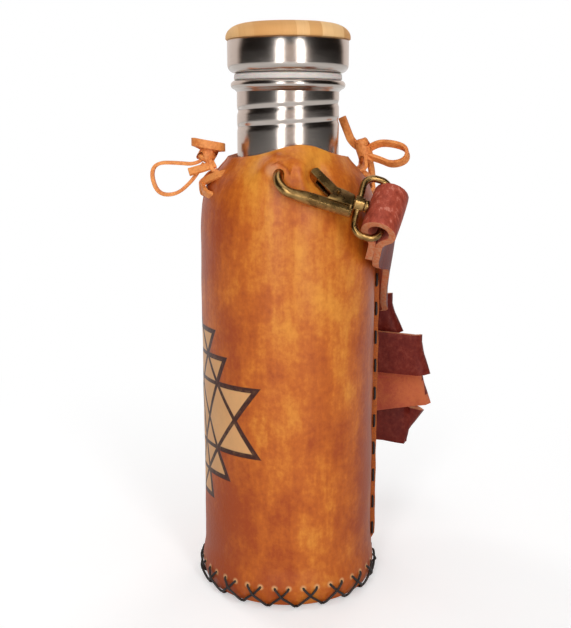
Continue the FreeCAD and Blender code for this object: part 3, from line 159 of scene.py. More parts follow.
# Bottle: wall, shoulder's centre, neck, rolled groove, and the lid's cup and cap
WALL_OUT, WALL_IN, SHOULDER_IN, SHOULDER_UP = 36.8, 36.0, 6.8, 158.0
NECK_OUT, NECK_IN, NECK_FROM, NECK_TALL, NECK_ROWS = 22.8, 22.0, 187.0, 42.0, 84
GROOVE_MIDDLE, GROOVE_WIDTH, GROOVE_ZONE = 217.1, 1.05, (206, 228.5)
GROOVE_START, GROOVE_END = (-0.62, -0.4), (0.92, 1.14)
CUP_OUT, CUP_IN, CUP_CORNER = 26.9, 26.1, (23.3, 240.6)
CAP_IN, CAP_FROM, CAP_WIDE, CAP_TALL = 18.6, 252.2, 9.0, 5.8

# Lamps: place, target, width, height, power and whether metal mirrors them
LAMPS = {
    "left_strip": ((-0.60, -1.27, 0.55), (0, 0, 0.55), 0.26, 1.7, 9.4, True),
    "right_strip": ((0.34, -1.36, 0.55), (0, 0, 0.55), 0.26, 1.7, 9.4, True),
    "top": ((-0.1, -0.35, 1.5), (0, 0, 0.1), 0.9, 0.9, 4, True),
    "back_left": ((-0.8, 1.3, 0.7), (0, 0, 0.15), 0.5, 1.2, 8, False),
    "back_right": ((0.8, 1.3, 0.7), (0, 0, 0.15), 0.5, 1.2, 8, False),
}
CAMERA_SPOT, CAMERA_TILT, CAMERA_TURN = (-0.0755, -0.4281, 0.2169), 78.44, -10.0
CAMERA_LENS, CAMERA_SHIFT = 54.46, -0.00398
AMBIENT, FLOOR_SIZE = 0.2, 3.0
WHITE = (1, 1, 1, 1)

# Bows: knot, route from the knot's middle, way of the width
LEFT_KNOT, RIGHT_KNOT = (-35.993, 0.5, 202.5), (35.493, 0.5, 203.0)
BOWS = {
    "left_side_loop": (LEFT_KNOT, (
        (-2.1, 0.5, -2.6), (-5.5, 0.6, -5.2), (-13.4, 1.4, -4.4), (-22.8, 2.6, -4.2), (-25.5, 3.2, -9.4),
        (-22.5, 2.6, -18.4), (-14.4, 1.4, -18.5), (-8.3, 0.3, -13.3), (-4.3, -0.2, -8), (-2, 0, -4.5)),
        (0.1736, 0.985, 0)),
    "left_top_loop": (LEFT_KNOT, (
        (0, 2.4, 1.4), (5.4, 3.6, 2), (7.3, -1, 2.2), (4.7, -5.6, 2.8), (-3.7, -5.6, 4.3),
        (-7.5, -1.2, 5), (-4.7, 3.8, 4.2), (-0.8, 2.9, 1.8)), (0, 0, 1)),
    "right_side_loop": (RIGHT_KNOT, (
        (1.7, 0.4, 0.4), (5.1, -1.5, 3.3), (10.9, -6.2, 3.5), (17.2, -11.2, 1.4), (16.7, -12.5, -4.1),
        (10.6, -9.4, -6.2), (6.3, -4.5, -3.9), (1.4, -2.2, -2.4)), (-0.4, -0.58, 0.7)),
    "left_tail": (LEFT_KNOT, (
        (2.7, -4.2, -4.8), (-2.9, -4.8, -6.6), (-9.2, -4.6, -8.3)), (-0.2, 0.65, 0.72)),
    "right_tail": (RIGHT_KNOT, (
        (-1.5, 0.4, 1), (-5.6, 0.8, 3.6), (-7.6, 2, 9), (-9.9, 3, 15.1)), (0.75, -0.6, 0.35)),
    "right_short_tail": (RIGHT_KNOT, (
        (2, 1.2, -2.2), (4.5, 1.8, -7), (4.7, 2.2, -15)), (0.75, 0.66, 0)),
}
KNOT_ACROSS, KNOT_TURNS, KNOT_STEPS, KNOT_CORE, KNOT_SWELL = 8.0, 3, 8, 0.33, 0.15
KNOT_WAVE, KNOT_WAVE_BREADTH = 0.35, 3.5
WRAP_RADIUS, WRAP_STEPS, WRAP_SWAY, WRAP_NARROWER, WRAP_THINNER = 4.1, 40, 1.6, 0.85, 0.7

# Ornament of interlaced triangles: base height, half width, height of the point
ORNAMENT = ((124.5, 16.8, 94), (113.2, 24.6, 59.5), (101.3, 41.5, 46),
            (71, 41.7, 128), (58, 25.6, 104), (46.3, 13.6, 95))


def screen(red, green, blue):
    """Scene colour of a screen colour given in steps of 0 to 255."""
    return tuple(part / 12.92 if part <= 0.04045 else ((part + 0.055) / 1.055) ** 2.4
                 for part in (red / 255, green / 255, blue / 255))


def tint(name, description, *rgb):
    return FloatVectorProperty(name=name, description=description, subtype="COLOR", size=3, min=0, max=1,
                               default=screen(*rgb))


def length(name, description, millimetres):
    return FloatProperty(name=name, description=description, default=millimetres * MM, min=0,
                         unit="LENGTH", subtype="DISTANCE", precision=5)


class CarrierSizes(bpy.types.PropertyGroup):
    """Sizes of the dressed pieces."""

    leather: length("Sleeve leather", "Thickness of the sleeve leather", 2.5)
    strap_width: length("Strap width", "Width of the shoulder strap", 21.5)
    strap_thickness: length("Strap thickness", "Thickness of the shoulder strap", 3)
    thong_width: length("Thong width", "Width of the lacing thong", 3.6)
    thong_thickness: length("Thong thickness", "Thickness of the lacing thong", 1.6)
    thread: length("Thread", "Thickness of the waxed thread", 1.1)
    groove: length("Neck groove", "Depth of the rolled thread on the bottle's neck", 0.5)
    groove_pitch: length("Groove pitch", "Rise of the rolled thread in one turn", 7.2)


class CarrierColours(bpy.types.PropertyGroup):
    """Colours of the finishes."""

    sleeve_pale: tint("Pale leather", "Lightest tone of the sleeve", 233, 152, 54)
    sleeve_mid: tint("Middle leather", "Main tone of the sleeve", 206, 107, 30)
    sleeve_deep: tint("Deep leather", "Darkest tone of the sleeve", 168, 70, 18)
    sleeve_edge: tint("Cut edge", "Cut edges of the sleeve", 150, 74, 34)
    ornament_line: tint("Ornament line", "Lines of the ornament", 62, 26, 16)
    ornament_fill: tint("Ornament fill", "Ground of the ornament", 232, 184, 126)
    wear: tint("Worn leather", "Leather rubbed pale by the hooks", 232, 182, 140)
    strap_grain: tint("Strap grain", "Grain side of the strap", 98, 18, 9)
    # Crease and scuff tones of the grain are partly the strap's creased wear and partly its sheen painted
    # in as pale colour, most on the roll round each ring. The crease tone is also the darker tone of the
    # flesh side.
    strap_crease: tint("Strap crease", "Worn creases of the strap", 186, 84, 62)
    strap_scuff_and_sheen: tint("Strap scuff", "Pale scuffs of the strap", 226, 150, 128)
    strap_flesh: tint("Strap flesh", "Flesh side of the strap", 204, 110, 68)
    strap_edge: tint("Strap edge", "Cut edges of the strap", 206, 150, 112)
    thong: tint("Thong", "Lacing thong", 244, 158, 84)
    thong_deep: tint("Deep thong", "Shaded tone of the thong", 212, 116, 52)
    brass: tint("Brass", "Worn brass", 190, 152, 94)
    brass_deep: tint("Patina", "Darkened brass", 130, 100, 58)
    bamboo_pale: tint("Pale bamboo", "Light bamboo strips", 252, 206, 146)
    bamboo_deep: tint("Deep bamboo", "Dark bamboo strips", 226, 166, 102)
    steel: tint("Steel", "Brushed steel", 204, 194, 186)
    silicone: tint("Silicone", "Lid gasket", 240, 226, 218)
    thread: tint("Thread", "Waxed thread", 30, 24, 22)


def sizes():
    return bpy.context.scene.carrier_sizes


def colours():
    return bpy.context.scene.carrier_colours


def shade(name):
    """One of the colours, as a shader takes it."""
    return (*getattr(colours(), name), 1)


class Wire:
    """A shader socket that takes part in arithmetic; each operation adds a Math node."""

    def __init__(self, tree, socket=None):
        self.tree = tree
        self.socket = socket

    def node(self, kind, settings, sockets, output=0):
        """Add a node of any type: its settings first, then the values or links of its sockets."""
        made = self.tree.nodes.new(kind)
        for setting, value in settings.items():
            setattr(made, setting, value)
        for key, value in sockets.items():
            if isinstance(value, Wire):
                self.tree.links.new(value.socket, made.inputs[key])
            else:
                made.inputs[key].default_value = value
        return Wire(self.tree, made.outputs[output])

    def math(self, operation, *values):
        return self.node("ShaderNodeMath", {"operation": operation}, dict(enumerate(values)))

    def __add__(self, other):
        return self.math("ADD", self, other)

    def __radd__(self, other):
        return self.math("ADD", other, self)

    def __sub__(self, other):
        return self.math("SUBTRACT", self, other)

    def __rsub__(self, other):
        return self.math("SUBTRACT", other, self)

    def __mul__(self, other):
        return self.math("MULTIPLY", self, other)

    def __rmul__(self, other):
        return self.math("MULTIPLY", other, self)

    def __abs__(self):
        return self.math("ABSOLUTE", self)

    def low(self, other):
        return self.math("MINIMUM", self, other)

    def high(self, other):
        return self.math("MAXIMUM", self, other)

    def rise(self, start, end):
        """Zero below start and one above end, smooth between."""
        return self.node("ShaderNodeMapRange", {"interpolation_type": "SMOOTHSTEP"},
                         {"Value": self, "From Min": start, "From Max": end})

    def fall(self, start, end):
        return 1 - self.rise(start, end)

    def parts(self):
        """The three parts of a vector."""
        return [self.node("ShaderNodeSeparateXYZ", {}, {0: self}, part) for part in range(3)]

    def stretch(self, *factors):
        return self.node("ShaderNodeVectorMath", {"operation": "MULTIPLY"}, {0: self, 1: factors})

    def cloud(self, scale, detail=3.0, rough=0.5):
        return self.node("ShaderNodeTexNoise", {}, {"Vector": self, "Scale": scale, "Detail": detail,
                                                    "Roughness": rough})

    def cells(self, scale):
        return self.node("ShaderNodeTexVoronoi", {"feature": "F1"}, {"Vector": self, "Scale": scale})

    def mix(self, below, above):
        """Colour between two others, with this wire as the share of the second."""
        return self.node("ShaderNodeMix", {"data_type": "RGBA"}, {0: self, 6: below, 7: above}, 2)

    def bump(self, strength, distance):
        return self.node("ShaderNodeBump", {}, {"Height": self, "Strength": strength, "Distance": distance},
                         "Normal")


def new_finish(name, constants):
    """A material with its shader's plain values set, and its Object coordinates."""
    made = bpy.data.materials.new(name)
    made.use_nodes = True
    shader = made.node_tree.nodes["Principled BSDF"]
    for socket, value in constants.items():
        shader.inputs[socket].default_value = value
    return made, shader, Wire(made.node_tree).node("ShaderNodeTexCoord", {}, {}, "Object")


def feed(shader, sockets):
    for socket, wire in sockets.items():
        wire.tree.links.new(wire.socket, shader.inputs[socket])


FINISHES = {}


def finish_for(slot, plain):
    """Keep a finish under its name, with the name of a CAD slot, which nothing uses, and its shader's plain
    values.
    """
    def keep(draw):
        FINISHES[draw.__name__] = (draw, slot, plain)
        return draw
    return keep


def finish_of(name):
    """A finish's material, made when it is first asked for."""
    made = bpy.data.materials.get(name)
    if made is None:
        draw, slot, plain = FINISHES[name]
        made, shader, place = new_finish(name, plain)
        feed(shader, draw(place))
    return made


def surface(colour, roughness, normal):
    return {"Base Color": colour, "Roughness": roughness, "Normal": normal}


def ornament_masks(place):
    """Lines and ground of the interlaced triangles, unrolled round the sleeve's left side."""
    x, y, z = place.parts()
    arc = abs(place.math("ARCTAN2", y, 0 - x) * SLEEVE_RADIUS)
    up = z * 1000
    edges = []
    for base, half, point in ORNAMENT:
        way = 1 if point > base else -1
        tall = abs(point - base)
        lean = tall / math.hypot(tall, half)
        edges.append(((up - base) * way).low(((point - up) * (way * half / tall) - arc) * lean))
    fine = reduce(Wire.high, [abs(edge).fall(0.75, 1.1) for edge in edges])
    union = reduce(Wire.high, edges)
    return abs(union).fall(0.95, 1.35).high(fine), union.rise(-0.1, 0.2)


def lacing_puckers(place):
    """Paler leather where the foot lacing goes through."""
    x, y, z = place.parts()
    crosses = place.math("ARCTAN2", y, x) * (CROSS_COUNT / math.tau)
    turn = crosses - CROSS_START * CROSS_COUNT / 360 + (2 * CROSS_COUNT + 0.5)
    across = abs((turn.math("FRACT", turn) - 0.5) * (math.tau * FOOT_RADIUS / CROSS_COUNT))
    sideways = across - PUCKER_ASIDE
    up = z * 1000 - (CROSS_TOP + 0.9)
    gap = sideways.math("SQRT", sideways * sideways + up * up)
    return gap.fall(0.6, 1.9)


def hook_wear(place):
    """Paler leather where each hook's bend goes in."""
    patches = []
    for side in HOOK_SIDES:
        corner, along, up, out = hook_axes(side)
        spot = (corner + along * WEAR_SPOT[0] + up * WEAR_SPOT[1] + out * WEAR_SPOT[2]) * MM
        gap = place.node("ShaderNodeVectorMath", {"operation": "DISTANCE"},
                         {0: place, 1: tuple(spot)}, "Value")
        patches.append(gap.fall(0.001, 0.0042))
    return reduce(Wire.high, patches)


@finish_for("tan_leather", {"Specular IOR Level": 0.3, "Coat Roughness": 0.3})
def sleeve_leather(place, decorated=True):
    x, y, up = place.parts()
    # Painted shade: sides paints the leather darker towards the left and right, where the round sleeve
    # turns away from the lamps.
    sides = abs(x).rise(0.016, 0.036)
    cloudy = place.cloud(24, 6, 0.62)
    patchy = place.stretch(1, 1, 0.6).cloud(85, 6, 0.66)
    streaks = place.stretch(1, 1, 0.12).cloud(260, 3, 0.6)
    specks = place.cloud(420, 3, 0.6)
    tone = cloudy * 0.42 + patchy * 0.3 + streaks * 0.14 + specks * 0.14
    # The tone rises a little with height, and the painted side shade darkens it.
    tone = tone + (up.rise(-0.05, 0.2) - 0.5) * 0.06 - sides * 0.11
    colour = tone.rise(0.36, 0.54).mix(shade("sleeve_deep"), shade("sleeve_mid"))
    colour = tone.rise(0.48, 0.64).mix(colour, shade("sleeve_pale"))
    pores = place.cells(620)
    grain = pores * 0.6 + place.cloud(1100, 2) * 0.5
    colour = (pores.fall(0.0, 0.3) * 0.1).mix(colour, shade("sleeve_deep"))
    colour = (up.fall(0.0, 0.03) * 0.3).mix(colour, shade("sleeve_deep"))
    height = grain + patchy * 0.5
    if decorated:
        line, ground = ornament_masks(place)
        worn = 0.75 + patchy * 0.4
        colour = (ground * 0.78 * worn).mix(colour, shade("ornament_fill"))
        colour = (line * (0.72 + specks * 0.5)).mix(colour, shade("ornament_line"))
        colour = (lacing_puckers(place) * 0.75).mix(colour, shade("ornament_fill"))
        colour = (hook_wear(place) * 0.4).mix(colour, shade("wear"))
        height = height - line * 0.9
    return {**surface(colour, 0.34 + patchy * 0.16, height.bump(0.25, 0.0005)), "Coat Weight": cloudy * 0.2}


@finish_for("tan_leather", {"Specular IOR Level": 0.3, "Coat Roughness": 0.3})
def plain_leather(place):
    return sleeve_leather(place, False)


@finish_for("tan_leather", {"Specular IOR Level": 0.3})
def cut_edge(place):
    fibre = place.stretch(1, 1, 5).cloud(700, 4, 0.7)
    colour = fibre.rise(0.3, 0.7).mix(shade("sleeve_edge"), shade("sleeve_mid"))
    return surface(colour, 0.5 + fibre * 0.25, fibre.bump(0.3, 0.0003))


@finish_for("mahogany_leather", {"Specular IOR Level": 0.2})
def strap_grain(place, worn=0.22):
    broad = place.cloud(38, 5, 0.6)
    crease = place.stretch(1, 1, 0.9 - worn * 0.65).cloud(420, 5, 0.65)
    pores = place.cells(900)
    # worn sets how much crease tone and pale scuff go on: wear, with a painted sheen where it is high.
    mottled = (broad * 0.4 + crease * 0.6).rise(0.4 - worn * 0.16, 0.66 - worn * 0.1) * worn
    colour = mottled.mix(shade("strap_grain"), shade("strap_crease"))
    colour = (crease.rise(0.54, 0.66) * (worn * worn * 0.7)).mix(colour, shade("strap_scuff_and_sheen"))
    return surface(colour, 0.38 + crease * 0.25, (pores * 0.5 + crease).bump(0.28, 0.0005))


# The roll round a ring: worn grain with its sheen painted in as pale crease tone and scuffs.
@finish_for("mahogany_leather", {"Specular IOR Level": 0.2})
def strap_worn_and_sheen(place):
    return strap_grain(place, 0.9)


@finish_for("mahogany_leather", {"Specular IOR Level": 0.15, "Sheen Weight": 0.15})
def strap_flesh(place):
    nap = place.cloud(520, 5, 0.7)
    broad = place.cloud(45, 4, 0.6)
    colour = (nap * 0.5 + broad * 0.5).rise(0.35, 0.65).mix(shade("strap_crease"), shade("strap_flesh"))
    return surface(colour, 0.75 + nap * 0.2, nap.bump(0.5, 0.0005))


@finish_for("mahogany_leather", {"Specular IOR Level": 0.25})
def strap_edge(place):
    fibre = place.cloud(620, 4, 0.7)
    colour = fibre.rise(0.35, 0.7).mix(shade("strap_flesh"), shade("strap_edge"))
    return surface(colour, 0.6 + fibre * 0.25, fibre.bump(0.35, 0.0004))


@finish_for("orange_thong", {"Specular IOR Level": 0.38})
def thong_leather(place):
    broad = place.cloud(90, 4, 0.6)
    pores = place.cloud(800, 3, 0.6)
    colour = (broad * 0.6 + pores * 0.4).rise(0.34, 0.6).mix(shade("thong_deep"), shade("thong"))
    return surface(colour, 0.42 + pores * 0.2, pores.bump(0.12, 0.0003))


@finish_for("antique_brass", {"Metallic": 1.0})
def aged_brass(place):
    patches = place.cloud(170, 5, 0.65)
    scuffs = place.stretch(1, 1, 3).cloud(900, 4, 0.6)
    colour = (patches * 0.7 + scuffs * 0.3).rise(0.4, 0.64).mix(shade("brass_deep"), shade("brass"))
    return surface(colour, 0.2 + patches * 0.16, scuffs.bump(0.05, 0.0002))


@finish_for("spring_steel", {"Metallic": 1.0})
def spring_wire(place):
    scuffs = place.cloud(900, 3)
    colour = scuffs.rise(0.3, 0.7).mix((0.25, 0.24, 0.23, 1), (0.5, 0.49, 0.48, 1))
    return {"Base Color": colour, "Roughness": 0.3 + scuffs * 0.2}


@finish_for("steel", {"Metallic": 1.0})
def brushed_steel(place):
    x, y, z = place.parts()
    turn = place.math("ARCTAN2", y, x)
    brushed = place.node("ShaderNodeCombineXYZ", {}, {0: turn * 0.6, 1: z * 900}).cloud(6, 3, 0.6)
    dull = (*(0.86 * part for part in shade("steel")[:3]), 1)
    colour = brushed.rise(0.25, 0.75).mix(dull, shade("steel"))
    return surface(colour, 0.15 + brushed * 0.12, brushed.bump(0.05, 0.0002))


@finish_for("bamboo", {"Specular IOR Level": 0.12})
def bamboo_strips(place):
    x, y, z = place.parts()
    across = x * 178 + 0.2
    strip = across.math("FLOOR", across)
    seam = abs(across.math("FRACT", across) - 0.5).rise(0.47, 0.5)
    tone = place.node("ShaderNodeTexWhiteNoise", {"noise_dimensions": "1D"}, {"W": strip})
    fibre = place.stretch(1, 0.05, 0.05).cloud(1500, 4, 0.65)
    colour = (tone * 0.75 + fibre * 0.35).rise(0.1, 0.95).mix(shade("bamboo_deep"), shade("bamboo_pale"))
    colour = (seam * 0.4).mix(colour, shade("bamboo_deep"))
    return surface(colour, 0.42 + fibre * 0.2, fibre.bump(0.12, 0.0003))


@finish_for("silicone", {"Specular IOR Level": 0.4, "Subsurface Weight": 0.2, "Subsurface Scale": 0.002})
def pale_silicone(place):
    mist = place.cloud(300, 3)
    colour = mist.mix(shade("silicone"), (0.6, 0.58, 0.55, 1))
    return {"Base Color": colour, "Roughness": 0.38 + mist * 0.15}


@finish_for("black_thread", {"Specular IOR Level": 0.5})
def waxed_thread(place):
    strands = place.stretch(1, 1, 1.4).cloud(1300, 3, 0.6)
    colour = strands.mix(shade("thread"), (0.035, 0.028, 0.025, 1))
    return surface(colour, 0.42 + strands * 0.25, strands.bump(0.5, 0.0004))


def body_of(node):
    """The body that carries a CAD node."""
    for body, nodes in frame["record"]["behaviour"]["bodies"].items():
        if node in nodes:
            return body
    raise RuntimeError("no body carries " + node)


def linked(name, data):
    """An object of its own in the scene."""
    made = bpy.data.objects.new(name, data)
    bpy.context.scene.collection.objects.link(made)
    return made


def new_object(name, data, finishes):
    made = linked(name, data)
    for finish in finishes:
        data.materials.append(finish_of(finish))
    return made


def mesh_object(name, shape, finishes, sharp):
    """Turn a bmesh into an object with smooth faces and sharp edges where they turn by more."""
    data = bpy.data.meshes.new(name)
    shape.to_mesh(data)
    shape.free()
    data.shade_smooth()
    if sharp:
        data.set_sharp_from_angle(angle=math.radians(sharp))
    return new_object(name, data, finishes)


def settle(made, node):
    """Let a piece ride with the node it stands for."""
    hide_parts(node)
    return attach(made, body_of(node))


def dressed(name, shape, finish, sharp, node):
    """A piece in one finish that stands for a CAD node."""
    return settle(mesh_object(name, shape, (finish,), sharp), node)


def settled_mesh(made):
    """Apply a piece's modifiers to its mesh."""
    seen = made.evaluated_get(bpy.context.evaluated_depsgraph_get())
    data = bpy.data.meshes.new_from_object(seen)
    made.modifiers.clear()
    old = made.data
    made.data = data
    data.name = made.name
    bpy.data.meshes.remove(old)
    return made


def thicken(made, thickness, bevel, offset=0, back=0, rim=0, segments=2):
    """Give a sheet its thickness and rounded edges; back and rim count on to its other finishes."""
    wall = made.modifiers.new("wall", "SOLIDIFY")
    wall.thickness = thickness
    wall.offset = offset
    wall.material_offset = back
    wall.material_offset_rim = rim
    round_off = made.modifiers.new("round_off", "BEVEL")
    round_off.width = bevel * MM
    round_off.segments = segments
    round_off.angle_limit = SHARP_EDGE
    return settled_mesh(made)


def smooth_table(table, at):
    """Smooth value at a place, through pairs of place and value."""
    if at <= table[0][0]:
        return table[0][1]
    if at >= table[-1][0]:
        return table[-1][1]
    last = len(table) - 1
    index = max(i for i in range(last) if table[i][0] <= at)

    def slope(i):
        before, after = table[max(i - 1, 0)], table[min(i + 1, last)]
        return (after[1] - before[1]) / (after[0] - before[0])

    (start, low), (end, high) = table[index], table[index + 1]
    span = end - start
    share = (at - start) / span
    curve = share * share * (3 - 2 * share)
    leave = share * (1 - share) ** 2 * span * slope(index)
    arrive = share * share * (share - 1) * span * slope(index + 1)
    return low + curve * (high - low) + leave + arrive


def ease(value, start, end):
    share = min(1.0, max(0.0, (value - start) / (end - start)))
    return share * share * (3 - 2 * share)


def spun(profile, steps, closed=False):
    """A bmesh turned about the upright axis from a profile of radius and height in millimetres."""
    shape = bmesh.new()
    spots = [shape.verts.new((radius * MM, 0, up * MM)) for radius, up in profile]
    pairs = list(zip(spots, spots[1:]))
    if closed:
        pairs.append((spots[-1], spots[0]))
    lines = [shape.edges.new(pair) for pair in pairs]
    bmesh.ops.spin(shape, geom=spots + lines, cent=(0, 0, 0), axis=(0, 0, 1), angle=math.tau, steps=steps,
                   use_merge=True)
    bmesh.ops.remove_doubles(shape, verts=shape.verts, dist=1e-6)
    bmesh.ops.recalc_face_normals(shape, faces=shape.faces)
    return shape


def rounded(corner_r, corner_z, radius, start, end, steps=6):
    """Points of a rounding about a centre, from one angle to another in degrees."""
    turns = [math.radians(start + (end - start) * step / steps) for step in range(steps + 1)]
    return [(corner_r + radius * math.cos(turn), corner_z + radius * math.sin(turn)) for turn in turns]


def hook_axes(side):
    """A hook's corner, its ways along and up, and its way out; the rear hook mirrors the front one."""
    hand = 1 if side == "front" else -1
    corner, along, up = (Vector((x, hand * y, z)) for x, y, z in HOOK_FRAME)
    return corner, along, up, along.cross(up) * hand


def mouth_height(across):
    """Height of the sleeve's edge, with a tongue over each hook."""
    reach = abs(across)
    if reach <= TONGUE_HALF:
        return MOUTH_CREST - TONGUE_DROP * (reach / TONGUE_HALF) ** 2
    inward = max(0.0, SHOULDER_HALF - reach) / (SHOULDER_HALF - TONGUE_HALF)
    return SHOULDER_TOP + TONGUE_DROP * inward ** SHOULDER_CURVE


def press_leather(spot, side):
    """Leather lifted over a hook's nose, and pressed in under its gate."""
    corner, along, up, out = hook_axes(side)
    away = spot - corner
    a, b, c = away.dot(along), away.dot(up), away.dot(out)
    if abs(c) > HOOK_REACH:
        return spot
    before, after, behind = (spread * ease(a, *LIFT_CALM) for spread in LIFT_SPREAD)
    lifted = ease(a, *LIFT_FROM) * (1 - ease(a, *LIFT_TO))
    lifted *= ease(b, LIFT_EDGE[0] - before, LIFT_EDGE[1] + after)
    lifted *= 1 - ease(b, LIFT_BACK[0], LIFT_BACK[1] + behind)
    reached = c + lifted * max(0.0, LIFT_HEIGHT + LIFT_SLOPE * (b - LIFT_MIDDLE) - c)
    slope = (Vector(GATE_PIVOT) - Vector(GATE_TIP)).normalized()
    from_tip = Vector((a, b)) - Vector(GATE_TIP)
    beside = abs(from_tip.x * slope.y - from_tip.y * slope.x)
    run = from_tip.dot(slope)
    pressed = ease(run, *PRESS_FROM) * (1 - ease(run, *PRESS_TO)) * (1 - ease(beside, *PRESS_BESIDE))
    floor = PRESS_LESS * ease(b, *PRESS_END) - PRESS_DEPTH
    reached += pressed * min(0.0, floor - reached)
    return spot + out * (reached - c)


def sleeve_spot(angle, height):
    """Place on the sleeve's outside, by turn from the front and unrolled height."""
    across = smooth_table(SLEEVE_SIDE, height) * math.sin(angle)
    up = height
    if height > MOUTH_FROM:
        share = (height - MOUTH_FROM) / (MOUTH_CREST - MOUTH_FROM)
        up = MOUTH_FROM + share * (mouth_height(across) - MOUTH_FROM)
    side, front = smooth_table(SLEEVE_SIDE, up), smooth_table(SLEEVE_FRONT, up)
    spot = Vector((side * math.sin(angle), -front * math.cos(angle), up))
    outward = Vector((math.sin(angle), -math.cos(angle), 0))
    swell = SWELL * noise.noise(spot / SWELL_BREADTH)
    swell += RIPPLE * noise.noise(spot / RIPPLE_BREADTH + Vector((5, 5, 5)))
    turned = ease(up, FIN_FOOT - 4, FIN_FOOT + 6) * (1 - ease(up, FIN_TOP - 8, FIN_TOP + 6))
    to_seam = math.remainder(angle - math.pi / 2, math.tau) * SLEEVE_RADIUS
    swell *= ease(up, *SWELL_FROM)
    swell += SEAM_SWELL * turned * math.exp(-(to_seam / SEAM_BREADTH) ** 2)
    spot += outward * swell
    for hook in HOOK_SIDES:
        if (spot.y < 0) == (hook == "front") and up > HOOKS_FROM:
            spot = press_leather(spot, hook)
    return spot


def bend_cutter(side):
    """Shape of the hole that a hook's bend goes through."""
    corner, along, up, out = hook_axes(side)
    centre = (corner + along * BEND_RADIUS + up * BEND_RADIUS) * MM
    shape = bmesh.new()
    ring = bmesh.ops.create_circle(shape, radius=(WIRE_RADIUS + HOLE_ROOM) * MM, segments=20)["verts"]
    place = Matrix.Translation(centre + up * (BEND_RADIUS * MM))
    place @= Matrix((up, up.cross(along), along)).transposed().to_4x4()
    bmesh.ops.transform(shape, matrix=place, verts=ring)
    bmesh.ops.spin(shape, geom=shape.verts[:] + shape.edges[:], cent=centre, axis=along.cross(up),
                   angle=math.pi, steps=30)
    bmesh.ops.holes_fill(shape, edges=[edge for edge in shape.edges if edge.is_boundary], sides=0)
    bmesh.ops.recalc_face_normals(shape, faces=shape.faces)
    return mesh_object("bend_cutter_" + side, shape, ("sleeve_leather",), 0)


class CARRIER_OT_sleeve(bpy.types.Operator):
    """Wet-moulded sleeve with its slits, mouth, turned-out seam and base"""

    bl_idname = "carrier.sleeve"
    bl_label = "Sleeve and base"

    def execute(self, context):
        rows = [SLEEVE_ROWS[0][0]]
        for low, high, count in SLEEVE_ROWS:
            rows += [low + (high - low) * step / count for step in range(1, count + 1)]
        shape = spun([(SLEEVE_RADIUS, up) for up in rows], SLEEVE_COLUMNS)
        for vert in shape.verts:
            angle = math.atan2(vert.co.x, -vert.co.y)
            vert.co = sleeve_spot(angle, vert.co.z / MM) * MM
        drawn = [vert for vert in shape.verts if not vert.is_boundary
                 and abs(vert.co.y) > SMOOTH_BESIDE * MM and vert.co.z > MOUTH_FROM * MM]
        for repeat in range(SMOOTH_PASSES):
            bmesh.ops.smooth_vert(shape, verts=drawn, factor=0.5,
                                  use_axis_x=True, use_axis_y=True, use_axis_z=True)
        self.open_slits(shape)
        bmesh.ops.recalc_face_normals(shape, faces=shape.faces)
        sleeve = mesh_object("sleeve_leather", shape, ("sleeve_leather", "cut_edge", "plain_leather"), 0)
        cutters = [bend_cutter(side) for side in HOOK_SIDES]
        for cutter in cutters:
            hole = sleeve.modifiers.new("hole", "BOOLEAN")
            hole.object = cutter
            hole.solver = "EXACT"
        settled_mesh(sleeve)
        thicken(sleeve, sizes().leather, 0.6, -1, 2, 1)
        sleeve.data.set_sharp_from_angle(angle=SHARP_EDGE)
        for cutter in cutters:
            bpy.data.objects.remove(cutter)
        settle(sleeve, "sleeve")
        for hand, name in ((-1, "seam_front"), (1, "seam_rear")):
            self.seam_edge(name, hand)
        smooth_copy("base_sole", "base_disc", "plain_leather", 0.3)
        return {"FINISHED"}

    def open_slits(self, shape):
        """Cut the slit down from the mouth on each side."""
        for hand in (-1, 1):
            upper = [face for face in shape.faces if face.calc_center_median().z > (SLIT_FOOT - 3) * MM]
            geom = upper + [edge for face in upper for edge in face.edges]
            geom += [vert for face in upper for vert in face.verts]
            bmesh.ops.bisect_plane(shape, geom=list(dict.fromkeys(geom)), dist=1e-7,
                                   plane_co=(0, hand * SLIT_HALF * MM, 0), plane_no=(0, 1, 0))
        opened = [face for face in shape.faces if abs(face.calc_center_median().y) < SLIT_HALF * MM
                  and face.calc_center_median().z > SLIT_FOOT * MM]
        bmesh.ops.delete(shape, geom=opened, context="FACES")

    def seam_edge(self, name, hand):
        """One of the two leather edges that stand out side by side at the seam."""
        shape = bmesh.new()
        bmesh.ops.create_grid(shape, x_segments=5, y_segments=70, size=0.5)
        for vert in shape.verts:
            up = FIN_FOOT + (vert.co.y + 0.5) * (FIN_TOP - FIN_FOOT)
            full = ease(up, FIN_FOOT, FIN_FOOT + FIN_START) * (1 - ease(up, FIN_TOP - FIN_STOP, FIN_TOP))
            reach = (FIN_EDGE - FIN_ROOT) * (0.3 + 0.7 * full)
            reach += FIN_WAVE * noise.noise(Vector((hand, 0, up / 9)))
            spread = FIN_WAVE * noise.noise(Vector((hand * 7, 3, up / 16)))
            share = vert.co.x + 0.5
            beside = hand * (FIN_GAP + FIN_SPLAY * share) + spread
            vert.co = Vector((FIN_ROOT + share * reach, beside, up)) * MM
        bmesh.ops.recalc_face_normals(shape, faces=shape.faces)
        edge = mesh_object(name, shape, ("cut_edge", "cut_edge"), 0)
        thicken(edge, sizes().leather * FIN_THINNER, 0.7, rim=1, segments=3)
        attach(edge, body_of("sleeve"))


def soften_edges(shape, edges, soften):
    """Round edges off, each once even where it is listed for both its ends."""
    bmesh.ops.bevel(shape, geom=list(dict.fromkeys(edges)), offset=soften, affect="EDGES", segments=2,
                    profile=0.5, material=-1)


